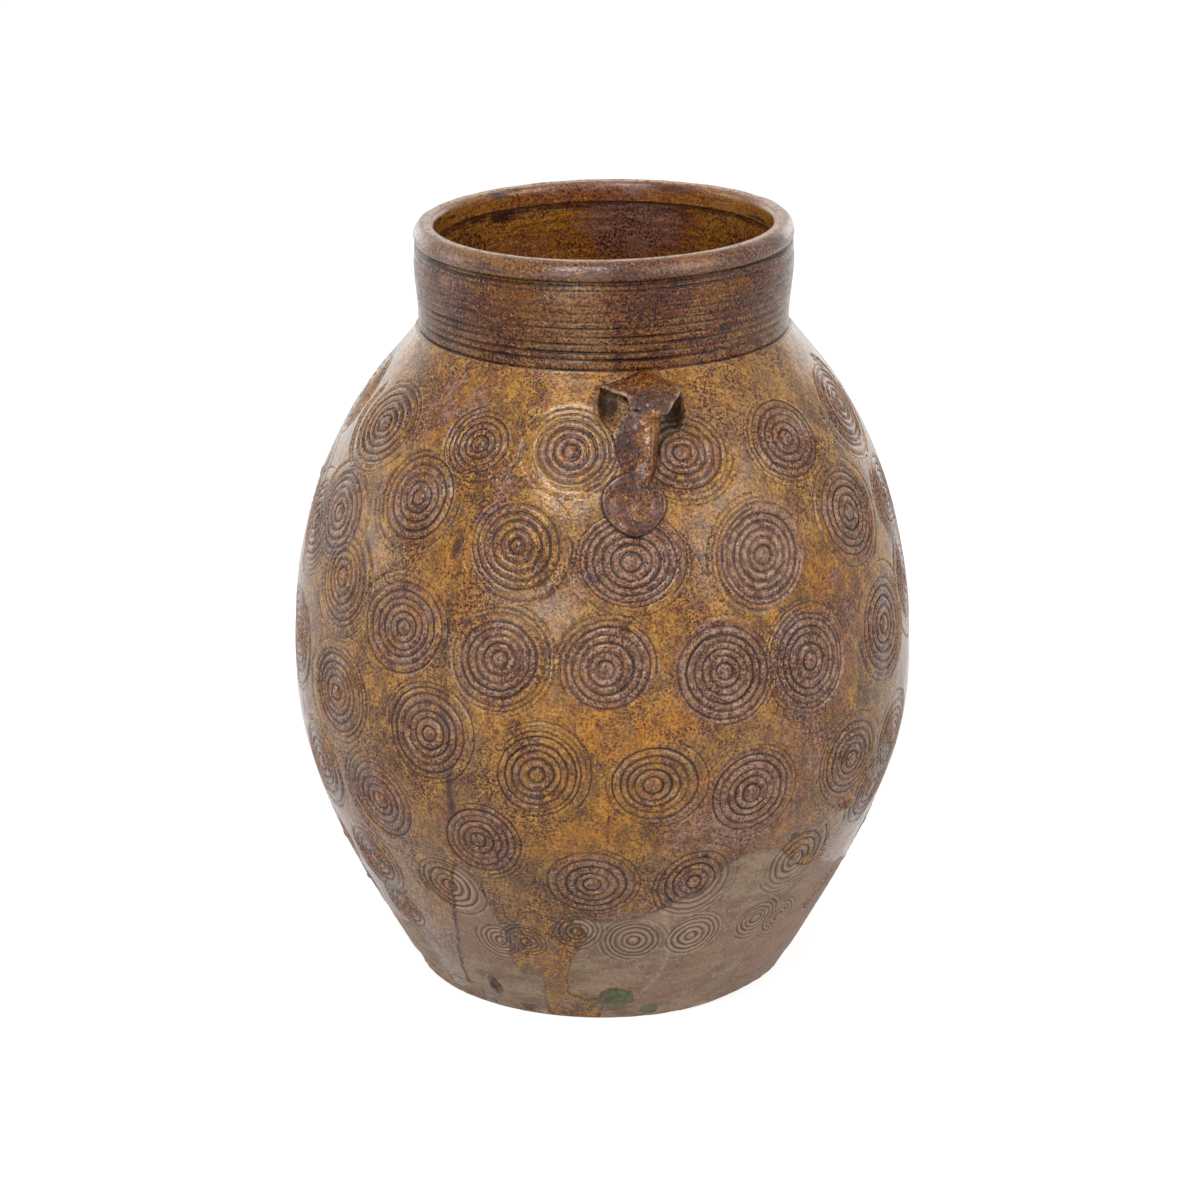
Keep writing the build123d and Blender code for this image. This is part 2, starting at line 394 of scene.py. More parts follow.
def comb_place(azimuth, level, reach):
    """Index of the wall's points near a circle's middle, and how far each lies across from it and above."""
    rows = np.flatnonzero(abs(wall_arc - arc_at(level)) < reach)
    apart = wrapped(azimuths - azimuth)
    columns = np.flatnonzero(abs(apart) < math.degrees(reach / wall_radius[rows].min()))
    mean_radius = (wall_radius[rows, None] + np.interp(level, wall_level, wall_radius)) / 2
    across = np.radians(apart[columns]) * mean_radius
    upward = np.broadcast_to((wall_arc[rows] - arc_at(level))[:, None], across.shape)
    return np.ix_(rows, columns), across, upward


def comb_distance(rng, azimuth, level, across, upward):
    """Distance and angle from a circle's middle as the hand went: a little oval, slipping and wavering."""
    stretch, lean = rng.uniform(*comb_stretch), rng.uniform(0, math.pi)
    slip, slip_turn = rng.uniform(*comb_slip), rng.uniform(0, 2 * math.pi, 2)
    angle = np.arctan2(upward, across)
    plain = np.stack([across + azimuth, upward + level, 0 * across], axis=-1)
    distance = np.hypot(across, upward) * (1 + stretch * np.cos(2 * (angle - lean)))
    distance += slip * np.sin(distance / 6 + slip_turn[0]) * np.cos(angle - slip_turn[1])
    return distance + comb_waver * waves(plain, 7, 15) * smooth(distance, 0, 6), angle


def combed_fields(circles):
    """Relief, tint and comb fields of the circles over the whole wall grid.

    A circle's phase is its groove's number, read off its rings by the distance from its middle, so a groove
    runs where the phase is a whole number. Each layer keeps cos and sin of 2 pi phase, and the hold, which is
    the groove's depth where the comb has bitten. Relief is -depth exp(-(gap / width)^2) times the hold.
    """
    rng = np.random.default_rng(seed + 1)
    shape = (len(wall_arc), wall_columns)
    cut, crest, tint = np.zeros(shape), np.zeros(shape), np.zeros(shape)
    layers = []
    for members in circle_layers(circles):
        comb = np.zeros(shape + (3,), np.float32)
        comb[..., 0] = -1
        for azimuth, level, radius, strength in members:
            rings, depths, spans = comb_rings(rng, radius)
            place, across, upward = comb_place(azimuth, level, rings[-1] + comb_fine_pitch)
            distance, angle = comb_distance(rng, azimuth, level, across, upward)
            within = distance < rings[-1]
            beyond = np.minimum(distance - rings[0], 0) / comb_pitch
            phase = np.interp(distance, rings, np.arange(len(rings))) + beyond
            groove = np.clip(np.round(phase), 0, len(rings) - 1).astype(int)
            starts = rng.uniform(0, 2 * math.pi, len(rings))
            arcs = smooth(np.cos(angle - starts[groove]), spans[groove] - 0.1, spans[groove] + 0.1)
            hold = arcs * depths[groove] * (0.84 + 0.16 * np.cos(angle + starts[groove]))
            hold *= smooth(phase, -0.55, -0.35) * within
            turn = 2 * math.pi * phase
            fresh = np.stack([np.cos(turn), np.sin(turn), hold], axis=-1)
            comb[place] = np.where(within[..., None], fresh, comb[place])
            pitches = np.append(np.diff(rings), comb_fine_pitch)
            valley = hump((phase - groove) * pitches[groove], comb_groove)
            cut[place] = np.maximum(cut[place], comb_depth * valley * hold)
            ridge = comb_crest * (1 - valley) * smooth(radius - distance, -2, 6)
            boss = boss_height * hump(distance, boss_radius)
            crest[place] = np.maximum(crest[place], ridge + boss)
            cover = strength * smooth(radius * (0.66 + 0.3 * strength) - distance, -5, 6)
            tint[place] = np.maximum(tint[place], cover)
        layers.append(comb)
    return crest - cut, tint, layers


# The glaze's lower edge round the whole jar, as azimuth and level. The runs after 65 degrees are hidden ones.
glaze_edge = (
    (-80, 36), (-70, 38), (-60, 37), (-55.5, 40), (-51.5, 38), (-50.3, 14), (-49, 4), (-45, 6), (-43.5, 7.5),
    (-40.2, 12.5), (-39.5, 25), (-37, 39), (-34.8, 50), (-34.2, 59), (-32.8, 66), (-32, 77.5), (-29.9, 94),
    (-28, 88), (-25.8, 80.6), (-24.8, 71), (-23.8, 62.5), (-22.5, 54), (-22, 45), (-23.2, 39), (-22.8, 30),
    (-20.8, 26), (-16.5, 27), (-15.8, 22), (-16, 16), (-17.2, 4), (-15, -1), (-1, -1), (1, 4), (1.5, 15),
    (-8.2, 16), (-8.5, 27.5), (-7.5, 35), (-5.5, 46), (-2.8, 54), (-2.8, 57.5), (-4.5, 64), (-7, 68),
    (-3.5, 67), (0, 65.6), (5, 66), (10, 70), (13.5, 73), (16, 77.5), (19.5, 79.4), (22, 82.5), (24, 90),
    (24.5, 94), (27, 97.5), (30, 99.4), (33.5, 100), (36.5, 97.5), (38.8, 94), (40, 90), (42.5, 86),
    (45, 81), (52.5, 80), (60, 71), (65, 70), (74, 62), (83, 50), (90, 28), (93, 12), (97, 9), (100, 16),
    (103, 40), (110, 58), (122, 64), (135, 60), (142, 44), (145, 22), (148, 14), (152, 20), (155, 46),
    (163, 62), (176, 70), (190, 66), (200, 55), (206, 34), (210, 24), (214, 33), (220, 52), (232, 60),
    (244, 57), (254, 48), (262, 42), (270, 38), (280, 36),
)  # fmt: skip
# Splashes of thin glaze on the bare clay: azimuth, level, half width and half height
glaze_splashes = (
    (-31, 15, 4.2, 7.5),
    (-35, 5.5, 7.5, 3.4),
    (-22.2, 4.5, 5, 2.4),
    (4.2, 15, 8.6, 6.8),
    (14.3, 5.5, 4.6, 3.4),
)


def softened(points, rounds):
    """A line with its corners cut: each step is replaced by its points at a quarter and three quarters."""
    line = np.array(points, float)
    for _ in range(rounds):
        near, far = line[:-1] * 0.75 + line[1:] * 0.25, line[:-1] * 0.25 + line[1:] * 0.75
        line = np.concatenate([line[:1], np.stack([near, far], axis=1).reshape(-1, 2), line[-1:]])
    return line


glaze_reach = 12.0
glaze_edge_waver = 0.45
glaze_film, glaze_roll = 0.35, 0.18
window_radius = 85
least_radius = 60


def line_distance(azimuth, radius, level, line, reach):
    """Distance from grid points to a line of azimuths and levels, along the surface, up to a reach.

    Each of the line's steps is measured in the columns near it: the nearest point of a segment, found by the
    share of its length that the point projects to, held between 0 and 1.
    """
    nearest = np.full(np.broadcast(azimuth, radius, level).shape, float(reach))
    window = math.degrees(reach / window_radius)
    for (a0, z0), (a1, z1) in zip(line[:-1], line[1:]):
        columns = np.flatnonzero((azimuth > min(a0, a1) - window) & (azimuth < max(a0, a1) + window))
        rows = np.flatnonzero((level[:, 0] > min(z0, z1) - reach) & (level[:, 0] < max(z0, z1) + reach))
        if not len(rows) or not len(columns):
            continue
        place = np.ix_(rows, columns)
        near_radius, near_level = radius[rows], level[rows]
        from_x = np.radians(a0 - azimuth[columns]) * near_radius
        step_x = np.radians(a1 - a0) * near_radius
        from_z, step_z = z0 - near_level, z1 - z0
        length = np.maximum(step_x**2 + step_z**2, 1e-9)
        share = np.clip(-(from_x * step_x + from_z * step_z) / length, 0, 1)
        gap = np.hypot(from_x + share * step_x, from_z + share * step_z)
        nearest[place] = np.minimum(nearest[place], gap)
    return nearest


def glaze_field(azimuth, radius, level):
    """Distance in from the glaze's edge, positive under glaze and negative on bare clay.

    A point is bare where the number of edge lines above it is odd. Splashes are ellipses joined on, with
    their distance taken as (1 - distance over half size) times the smaller half size.
    """
    line = softened(glaze_edge, 2)
    gap = line_distance(azimuth, radius, level, line, glaze_reach)
    bare = np.zeros(gap.shape, bool)
    for (a0, z0), (a1, z1) in zip(line[:-1], line[1:]):
        columns = np.flatnonzero((azimuth >= min(a0, a1)) & (azimuth < max(a0, a1)))
        if len(columns):
            crossing = z0 + (azimuth[columns] - a0) / (a1 - a0) * (z1 - z0)
            bare[:, columns] ^= level < crossing
    field = np.where(bare, -gap, gap)
    for splash_azimuth, splash_level, half_width, half_height in glaze_splashes:
        across = np.radians(azimuth - splash_azimuth) * radius
        share = np.hypot(across / half_width, (level - splash_level) / half_height)
        field = np.maximum(field, (1 - share) * min(half_width, half_height))
    return field + glaze_edge_waver * waves(turned(azimuth, radius, level), 7, 3)


def glaze_swell(field):
    """Height of the glaze over the clay: a film that rises in 1.3 mm from its edge, and a roll behind it."""
    roll = hump(field - 1.8, 1.3) * smooth(field, 0, 0.6)
    return glaze_film * smooth(field, -0.1, 1.2) + glaze_roll * roll


def blots(azimuth, radius, level, table):
    """Soft spots over a grid: the greatest of strength times a bell curve of each spot's distance."""
    total = np.zeros(np.broadcast(azimuth, radius, level).shape)
    for spot_azimuth, spot_level, half_width, half_height, strength in table:
        across = np.radians(wrapped(azimuth - spot_azimuth)) * radius
        share = np.hypot(across / half_width, (level - spot_level) / half_height)
        total = np.maximum(total, strength * hump(share, 1))
    return total


# Stains in the glaze: azimuth, level, half width, half height and strength
mauve_blots = (
    (24, 118, 34, 20, 0.9), (40, 165, 18, 50, 0.6), (50, 205, 22, 22, 0.5), (23, 92, 20, 9, 0.8),
    (5, 70, 30, 6, 0.7), (-57, 95, 20, 30, 0.6), (-60, 50, 26, 20, 0.7), (-75, 140, 24, 60, 0.5),
    (-38, 308, 20, 14, 0.6), (-22, 262, 10, 36, 0.45), (-44, 300, 14, 12, 0.5), (72, 110, 24, 40, 0.6),
    (110, 120, 40, 40, 0.7), (150, 210, 40, 60, 0.5), (200, 100, 50, 40, 0.8), (240, 180, 40, 70, 0.6),
    (175, 285, 60, 24, 0.5), (268, 90, 40, 40, 0.6),
)  # fmt: skip
amber_blots = (
    (4, 172, 36, 17, 0.9), (20, 228, 30, 12, 0.5), (-12, 175, 24, 10, 0.5), (-28, 235, 16, 22, 0.4),
    (-5, 120, 40, 16, 0.6), (-8, 42, 12, 26, 0.6), (44, 232, 24, 14, 0.5), (14, 320, 60, 8, 0.4),
    (100, 230, 50, 30, 0.6), (165, 150, 60, 24, 0.7), (225, 240, 50, 30, 0.6), (195, 170, 50, 20, 0.5),
)  # fmt: skip
dark_streaks = (
    (
        ((-29.5, 258), (-28.2, 236), (-29.8, 214), (-28.0, 190), (-28.8, 162), (-27.4, 138), (-28.4, 122)),
        4.6,
        0.48,
    ),
    (((-28.3, 138), (-28.2, 122)), 3.2, 0.7),
    (((39, 172), (38.2, 140), (39.4, 104)), 3.4, 0.34),
    (((-13, 330), (-20, 306), (-26, 290)), 4.5, 0.3),
    (((131, 240), (129.6, 190), (132, 120), (131, 60)), 4.4, 0.45),
    (((214, 210), (215.6, 150), (213, 90)), 4.0, 0.5),
)
purple_streaks = ((((-49.5, 40), (-48.4, 22), (-46.8, 4)), 5.0, 0.9),)
salt_runs = ((((13.5, 70), (14.6, 58), (16.5, 44), (15, 30), (12, 20)), 1.4, 0.35),)
green_blots = ((4.2, 15, 7.6, 5.8, 1.6), (14.3, 5.5, 4.4, 3.2, 1.5))
brown_blots = ((-31, 15, 2.6, 5.4, 1.3), (-22.2, 4.5, 3.4, 1.6, 0.8), (33, 12, 4.5, 3.5, 0.5))
pit_blots = ((20, 102.5, 1.5, 1.5, 1.3), (39.5, 104, 1.7, 1.7, 1.3), (-9, 98, 1.1, 1.1, 1.1))
# A lump of grit stuck in the glaze, its pits, and the rings that the fingers left on the bare clay
lump_azimuth, lump_level = 53.5, 111
lump_height, lump_size, lump_stretch = 1.7, 3.2, 1.7
pit_depth = 0.7
finger_depth, finger_pitch = 0.04, 5.2
smear_height, smear_width, smear_reach = 1.5, 1.5, 6
seat_fade = 3
# Each lug's two eyes: clay smeared up beside them as lines, rusty glaze pooled in them and painted darker as
# the hollows' painted shade, and their hollows, of which the last number is the depth. Azimuths are counted
# from the lug.
eye_smears = (
    ((-9.6, 317), (-10.2, 312), (-9.4, 306)),
    ((11.8, 317), (13.4, 312), (13.0, 306), (10.6, 300.5)),
)
eye_pools_and_painted_shade = ((-7.2, 312, 5.0, 6.5, 1.5), (9.6, 309, 5.2, 8, 1.5), (7.2, 300, 4, 8, 0.7))
eye_hollows = ((-7.2, 311, 4.4, 6.5, 4.0), (9.6, 309, 4.4, 7.5, 4.0))


def streaks(azimuth, radius, level, table):
    """Soft runs over a grid: the greatest of strength times a bell curve of the distance to each line."""
    total = np.zeros(np.broadcast(azimuth, radius, level).shape)
    for line, width, strength in table:
        gap = line_distance(azimuth, radius, level, softened(line, 2), 3 * width)
        total = np.maximum(total, strength * hump(gap, width) - strength * hump(3, 1))
    return np.maximum(total, 0)


def at_lugs(azimuth):
    """Azimuths counted from the nearer of the two lugs."""
    return (azimuth - front_azimuth + 90) % 180 - 90


def stain_fields(azimuth, radius, level):
    """The stains of the outer side as two vectors: mauve, blue-black and amber, then green, salt and iron,
    where the iron also holds the painted shade of the lugs' eyes.
    """
    spots = (azimuth, radius, level)
    mauve = np.maximum(blots(*spots, mauve_blots), streaks(*spots, purple_streaks))
    dark = streaks(*spots, dark_streaks)
    salt = streaks(*spots, salt_runs)
    iron = np.maximum(blots(*spots, brown_blots), blots(*spots, pit_blots))
    # The eyes' pools: dark glaze in them, and painted shade of their hollows.
    iron = np.maximum(iron, blots(at_lugs(azimuth), radius, level, eye_pools_and_painted_shade))
    first = np.stack([mauve, dark, blots(*spots, amber_blots)], axis=-1)
    second = np.stack([blots(*spots, green_blots), salt, iron], axis=-1)
    return first, second


def uneven(points):
    """Slow waves left by the throwing and the drying: about 0.35 mm over a hand's width, 0.1 mm finer."""
    return 0.35 * waves(points, 110, 11) + 0.1 * waves(points, 26, 12)


def wall_skin():
    """Points, normals and fields of the wall's whole outer side."""
    radius, level = wall_radius[:, None], wall_level[:, None]
    relief, tint, combs = combed_fields([*shown_circles, *hidden_circles()])
    glaze = glaze_field(azimuths, radius, level)
    stains, marks = stain_fields(azimuths, radius, level)
    stains[..., 0] = np.maximum(stains[..., 0], 0.85 * tint)
    plain = turned(azimuths, radius, level)
    across = np.radians(azimuths - lump_azimuth) * radius
    lump = lump_height * hump(np.hypot(across / lump_stretch, level - lump_level), lump_size)
    lump = lump * (1 + 0.4 * waves(plain, 3, 14))
    pits = pit_depth * np.minimum(blots(azimuths, radius, level, pit_blots), 1)
    rings = finger_depth * np.sin(wall_arc * 2 * math.pi / finger_pitch)[:, None]
    relief = relief + glaze_swell(glaze) + uneven(plain) + lump - pits + rings * smooth(-glaze, 0, 2)
    lug_spots = (at_lugs(azimuths), radius, level)
    for line in eye_smears:
        smear = hump(line_distance(*lug_spots, softened(line, 2), smear_reach), smear_width)
        relief = relief + smear_height * smear * (1 + 0.3 * waves(plain, 6, 16))
    relief = relief - blots(*lug_spots, eye_hollows)
    seat = smooth(wall_arc[-1] - wall_arc, 0, seat_fade)[:, None]
    normal = turned(azimuths, wall_normal[:, :1], wall_normal[:, 1:])
    points = warped(plain + normal * (relief * seat)[..., None])
    fields = {f"comb_{k}": comb for k, comb in enumerate(combs)}
    marks[..., 2] = np.maximum(marks[..., 2], 0.5 * smooth(lump, 0.5, 1.2))
    fields.update(glaze=glaze, stains=stains, marks=marks)
    return points, grid_normals(points), fields


inner_lower = np.concatenate(
    [
        cubic(
            (heel_bore - heel_fillet, slab_top),
            (heel_bore - heel_fillet / 3, slab_top),
            (heel_bore, slab_top + heel_fillet / 3),
            (heel_bore, slab_top + heel_fillet),
            60,
        )[:-1],
        under_curve((heel_bore, slab_top + heel_fillet), (belly_bore, belly_bore_level)),
    ]
)
inner_upper = over_curve((belly_bore, belly_bore_level), (mouth_radius, neck_level))


def throwing_rings(points, arc, pitch):
    """Rings that the fingers leave inside: a sine along the wall, its depth and place changing slowly."""
    drift = 1.6 * waves(points, 160, 21)
    return 0.3 * np.sin((arc + drift) * 2 * math.pi / pitch) * (0.7 + 0.3 * waves(points, 60, 22))


def wall_inside(curve):
    """Points of the wall's inner side, with throwing rings that fade out at its two ends."""
    inner = even_points(curve, bands_per_wall * inner_rows_per_band + 1)
    rings = throwing_rings(turned(azimuths, inner[:, :1], inner[:, 1:]), arc_lengths(inner)[:, None], 24)
    row = np.arange(len(inner))
    ends = smooth(np.minimum(row, row[::-1]), 0, 2)[:, None]
    return warped(turned(azimuths, inner[:, :1] - rings * ends, inner[:, 1:]))


# Plain values of the wall's fields on its inner side: glazed, unstained and uncombed
inner_values = {"glaze": glaze_reach, "stains": (0, 0, 0), "marks": (0, 0, 0)}
uncombed = (-1, 0, 0)


def wall_bands():
    """The wall as closed bands: a stretch of the outer side, closed by the same stretch of the inner side."""
    points, normals, fields = wall_skin()
    walls = (("lower_wall", inner_lower, 0, lower_rows), ("upper_wall", inner_upper, lower_rows, upper_rows))
    for node, inner_curve, first_row, row_count in walls:
        inner_points = wall_inside(inner_curve)
        inner_normals = -grid_normals(inner_points)
        for band, name in enumerate(("foot", "middle", "top")):
            low, high = (first_row + (band + k) * row_count // bands_per_wall for k in range(2))
            outer = slice(low, high + 1)
            inside = slice(band * inner_rows_per_band, (band + 1) * inner_rows_per_band + 1)
            both = np.concatenate([points[outer], inner_points[inside][::-1]])
            both_normals = np.concatenate([normals[outer], inner_normals[inside][::-1]])
            is_inside = np.arange(len(both))[:, None] > high - low
            band_fields = {"inside": is_inside}
            for field, values in fields.items():
                blank_shape = (inner_rows_per_band + 1,) + values.shape[1:]
                blank = np.full(blank_shape, inner_values.get(field, uncombed))
                band_fields[field] = np.concatenate([values[outer], blank])
            yield make_piece(f"{node}_{name}", node, both, band_fields, both_normals)


# Neck collar: a flared ring with combed lines. Its outer side is given as level over its seat and radius past
# the mouth's. Each line has a level over the seat, a width, a depth and how much dark glaze lies in it.
collar_side = (
    (0, 8.6), (2, 8.4), (10, 8.4), (16, 9.0), (22, 9.6), (27, 10.0), (32, 10.4), (36, 10.1), (42, 9.9),
)  # fmt: skip
collar_lines = (
    (0.5, 1.6, 0.3, 1.1),
    (5.4, 1.3, 0.42, 1.0),
    (8.9, 1.2, 0.42, 0.9),
    (12.8, 1.2, 0.45, 0.9),
    (16.4, 1.1, 0.38, 0.8),
    (20.6, 1.1, 0.32, 0.7),
    (24.0, 1.0, 0.25, 0.6),
    (28.2, 1.0, 0.2, 0.5),
    (32.0, 0.9, 0.14, 0.4),
    (38.6, 1.1, 0.3, 0.7),
    (41.0, 1.4, 0.6, 1.1),
)
collar_columns = 720
collar_rows = 104
collar_inner_rows = 27
collar_blend = 6
collar_azimuths = azimuths_round(collar_columns)
# Stains of the collar's bore and of its outer side
inner_mauve_blots = ((168, 356, 24, 18, 1.5), (120, 352, 20, 10, 0.4), (-150, 345, 30, 10, 0.4))
inner_amber_blots = ((187, 350, 7, 18, 1.0), (205, 345, 26, 14, 0.6), (148, 340, 16, 12, 0.5))
inner_dark_blots = ((219, 366, 9, 7, 1.4), (150, 362, 6, 10, 0.5), (214, 352, 12, 5, 0.3))
collar_dark_blots = (
    (-46, 357, 8, 4, 0.5), (-54, 348, 6, 6, 0.4), (-20, 332, 14, 3.4, 0.5), (8, 331, 22, 2.6, 0.45),
    (-34, 338, 12, 3, 0.4), (46, 352, 14, 6, 0.3), (120, 345, 20, 8, 0.4), (210, 350, 24, 8, 0.45),
)  # fmt: skip
collar_streaks = (
    (((-66, 368), (-60, 358), (-55, 347), (-51, 337)), 2.6, 0.6),
    (((150, 366), (156, 352), (154, 338)), 3.0, 0.5),
)
collar_mauve_blots = (
    (16, 358, 24, 8, 0.8), (-40, 345, 24, 16, 0.5), (38, 340, 16, 12, 0.5), (60, 352, 16, 14, 0.6),
    (-70, 345, 20, 20, 0.6), (100, 350, 40, 16, 0.6), (180, 345, 50, 14, 0.5), (250, 350, 40, 16, 0.6),
)  # fmt: skip


def collar_side_grid(level, out):
    """The collar's outer side and how far its lines are scored: each line wavers and is pressed unevenly."""
    plain = turned(collar_azimuths, mouth_radius + out, neck_level + level)
    waver = 0.35 * waves(plain, 120, 31) + 0.12 * waves(plain, 30, 32)
    scored, cut = np.zeros(plain.shape[:2]), np.zeros(plain.shape[:2])
    for number, (line_level, width, depth, dark) in enumerate(collar_lines):
        press = 0.8 + 0.35 * waves(plain, 70, 40 + number)
        groove = hump(level - line_level - waver, width / 2) * np.clip(press, 0, 1.3)
        cut = np.maximum(cut, depth * groove)
        scored = np.maximum(scored, dark * groove)
    return plain + turned(collar_azimuths, 0.25 + 0.3 * uneven(plain) - cut, 0), scored


def collar_ring():
    """The collar as one closed ring: combed side up, top across, bore down, foot across."""
    heights, outs = np.array(collar_side, float).T
    level = np.linspace(0, collar_top - neck_level, collar_rows)
    out = np.interp(level, heights, outs)
    out = np.convolve(np.pad(out, collar_blend, mode="edge"), np.ones(2 * collar_blend + 1), mode="valid")
    level, out = level[:, None], out[:, None] / (2 * collar_blend + 1)
    side, scored = collar_side_grid(level, out)
    bore_level = np.linspace(collar_top, neck_level, collar_inner_rows)[:, None]
    bore = turned(collar_azimuths, mouth_radius, bore_level)
    rings = throwing_rings(bore, bore_level - neck_level, 5.6) * smooth(bore_level - neck_level, 0, 3)
    bore = bore + turned(collar_azimuths, rings * smooth(collar_top - bore_level, 0, 2), 0)
    points = warped(np.concatenate([side, bore]))
    normals = np.concatenate([grid_normals(points[:collar_rows]), grid_normals(points[collar_rows:])])
    spots = (collar_azimuths, mouth_radius + out, neck_level + level)
    stains = stain_fields(*spots)[0]
    stains[..., 0] = np.maximum(stains[..., 0], blots(*spots, collar_mauve_blots))
    for dark in (blots(*spots, collar_dark_blots), streaks(*spots, collar_streaks)):
        stains[..., 1] = np.maximum(stains[..., 1], dark)
    bore_spots = (collar_azimuths, mouth_radius, bore_level)
    # Painted shade: the top of the bore is darkened towards the lip, where the lip overhangs it.
    painted_shade_under_lip = 0.9 * smooth(bore_level, 357, 369)
    bore_stains = (
        blots(*bore_spots, inner_mauve_blots),
        np.maximum(blots(*bore_spots, inner_dark_blots), painted_shade_under_lip),
        blots(*bore_spots, inner_amber_blots),
    )
    fields = {
        "scored": np.concatenate([scored, 0.6 * smooth(-rings, 0.08, 0.3)]),
        "stains": np.concatenate([stains, np.stack(bore_stains, axis=-1)]),
        "glaze": glaze_reach,
        "inside": np.arange(len(points))[:, None] >= collar_rows,
    }
    return make_piece("neck_collar_ring", "neck_collar", points, fields, normals)


# Rolled lip, as shares of its width and height: the same outline as the CAD lip, with a finger's unevenness
lip_width = node_box("rim_roll")[1][0] - mouth_radius
lip_outline_shares = (
    (0, 0), (0, 0.3), (0.0, 0.62), (0.03, 0.78), (0.10, 0.90), (0.22, 0.97), (0.40, 1.0), (0.58, 0.98),
    (0.76, 0.9), (0.9, 0.74), (0.98, 0.54), (1.0, 0.36), (0.98, 0.22), (0.92, 0.1), (0.84, 0.03), (0.74, 0),
)  # fmt: skip
lip_columns = 720
lip_rows = 44
lip_mauve_blots = (
    (10, 370, 40, 8, 0.6),
    (60, 370, 30, 8, 0.7),
    (-60, 370, 40, 8, 0.5),
    (180, 372, 60, 8, 0.6),
)
lip_dark_blots = ((-12, 369, 10, 4, 0.4), (35, 368, 8, 4, 0.4), (150, 374, 10, 5, 0.5), (220, 374, 8, 5, 0.7))


def lip_ring():
    """The lip as one closed ring: up out of the bore, over the crown, down outside and back underneath."""
    azimuth = azimuths_round(lip_columns)
    size = np.array([lip_width, lip_level - collar_top])
    outline = even_points(softened(lip_outline_shares, 2) * size, lip_rows)[::-1]
    out, rise = outline[:, :1], outline[:, 1:]
    spots = (azimuth, mouth_radius + out, collar_top + rise)
    plain = turned(*spots)
    free = smooth(rise, 0.2, 4)
    swell = free * (0.3 * waves(plain, 90, 51) + 0.14 * waves(plain, 20, 52))
    chips = free * 0.5 * smooth(waves(plain, 9, 53), 1.3, 2.0) * smooth(out, 5, 9)
    points = warped(turned(azimuth, spots[1] + swell - chips, spots[2] + 0.5 * swell - 0.4 * chips))
    crown = smooth(rise, 7.6, 9.6) * hump(out - 3.9, 1.7)
    wear = crown * (1.7 + 0.6 * waves(plain, 22, 54)) + chips
    drawn = plain * (1, 1, 6)
    amber = 0.6 * smooth(waves(drawn, 60, 55), -0.2, 0.8)
    dark = np.maximum(0.5 * smooth(waves(drawn, 45, 56), 0.2, 1.2), blots(*spots, lip_dark_blots))
    fields = {
        "wear": np.clip(wear, 0, 1),
        "stains": (blots(*spots, lip_mauve_blots), dark, amber),
        "glaze": glaze_reach,
        "inside": smooth(-out, -2.5, -0.5),
    }
    return make_piece("rim_roll_lip", "rim_roll", points, fields, grid_normals(points))


# Floor slab: cut off the wheel, flared and trimmed, with a chipped lower edge that is lifted in one place
slab_columns = 720
foot_round = 2.5
foot_chip = 1.3
foot_lift, foot_lift_azimuth, foot_lift_width = 2.6, 62, 24
cutting_wire = 0.22
floor_ring, floor_ring_pitch = 0.4, 9
slab_pole_radius = 3


def slab_outline():
    """Radius and level from a pole under the slab, round its edge, up its flare and in to a pole on top."""
    turns = np.linspace(0, math.pi / 2, 7)[1:]
    inset = foot_radius - foot_round
    under = np.stack([np.linspace(slab_pole_radius, inset, 26), np.zeros(26)], axis=1)
    edge = np.stack([inset + foot_round * np.sin(turns), foot_round * (1 - np.cos(turns))], axis=1)
    flare = np.linspace((foot_radius + 0.4, foot_round + 0.8), (slab_top_radius - 0.5, slab_top - 1), 13)
    brow = np.array([(slab_top_radius, slab_top - 0.4), (slab_top_radius - 0.7, slab_top)])
    over = np.stack([np.linspace(slab_top_radius - 4, slab_pole_radius, 24), np.full(24, slab_top)], axis=1)
    outline = np.concatenate([under, edge, flare, brow, over])
    return outline[:, :1], outline[:, 1:]


def slab_disc():
    """The slab as a closed disc, chipped, lifted and cut by the wire, with throwing rings on the floor."""
    azimuth = azimuths_round(slab_columns)
    radius, level = slab_outline()
    plain = turned(azimuth, radius, level)
    side = smooth(radius, foot_radius - 6, foot_radius) * smooth(level, -0.5, 1.5)
    side = side * smooth(slab_top - level, 0, 2)
    chips = side * foot_chip * smooth(waves(plain, 11, 61), 0.9, 1.8)
    lift = foot_lift * hump(wrapped(azimuth - foot_lift_azimuth), foot_lift_width) * smooth(-level, -3, 0)
    lift = lift * smooth(radius, foot_radius - 22, foot_radius)
    cutting = cutting_wire * np.sin((plain[..., 0] + 0.02 * plain[..., 1] ** 2) * 0.9)
    cutting = cutting * smooth(-level, -0.3, 0) * smooth(foot_radius - 5 - radius, 0, 4)
    push = side * (0.35 * waves(plain, 40, 62) + 0.15 * waves(plain, 8, 63)) - chips
    on_floor = smooth(level, slab_top - 0.3, slab_top)
    rings = floor_ring * np.sin(radius * 2 * math.pi / floor_ring_pitch) * on_floor
    rings = rings * smooth(70 - radius, 0, 5)
    points = turned(azimuth, radius + push, level + lift + np.maximum(cutting, 0) + rings)
    poles = np.array([[0, 0, 0.1], [0, 0, slab_top]])
    on_side = smooth(radius, foot_radius - 3, foot_radius - 1)
    on_top = on_floor * smooth(slab_top_radius - 6 - radius, 0, 1)
    spots = (azimuth, np.maximum(radius, least_radius), level)
    glaze = np.where(on_side > 0.5, glaze_field(*spots), -glaze_reach)
    stains, marks = stain_fields(*spots)
    fade = (on_side * (1 - on_top))[..., None]
    fields = {
        "glaze": np.where(on_top > 0.5, glaze_reach, glaze),
        "stains": stains * fade,
        "marks": marks * fade,
        "inside": on_top,
    }
    return make_piece("base_slab_disc", "base_slab", points, fields, poles=poles)


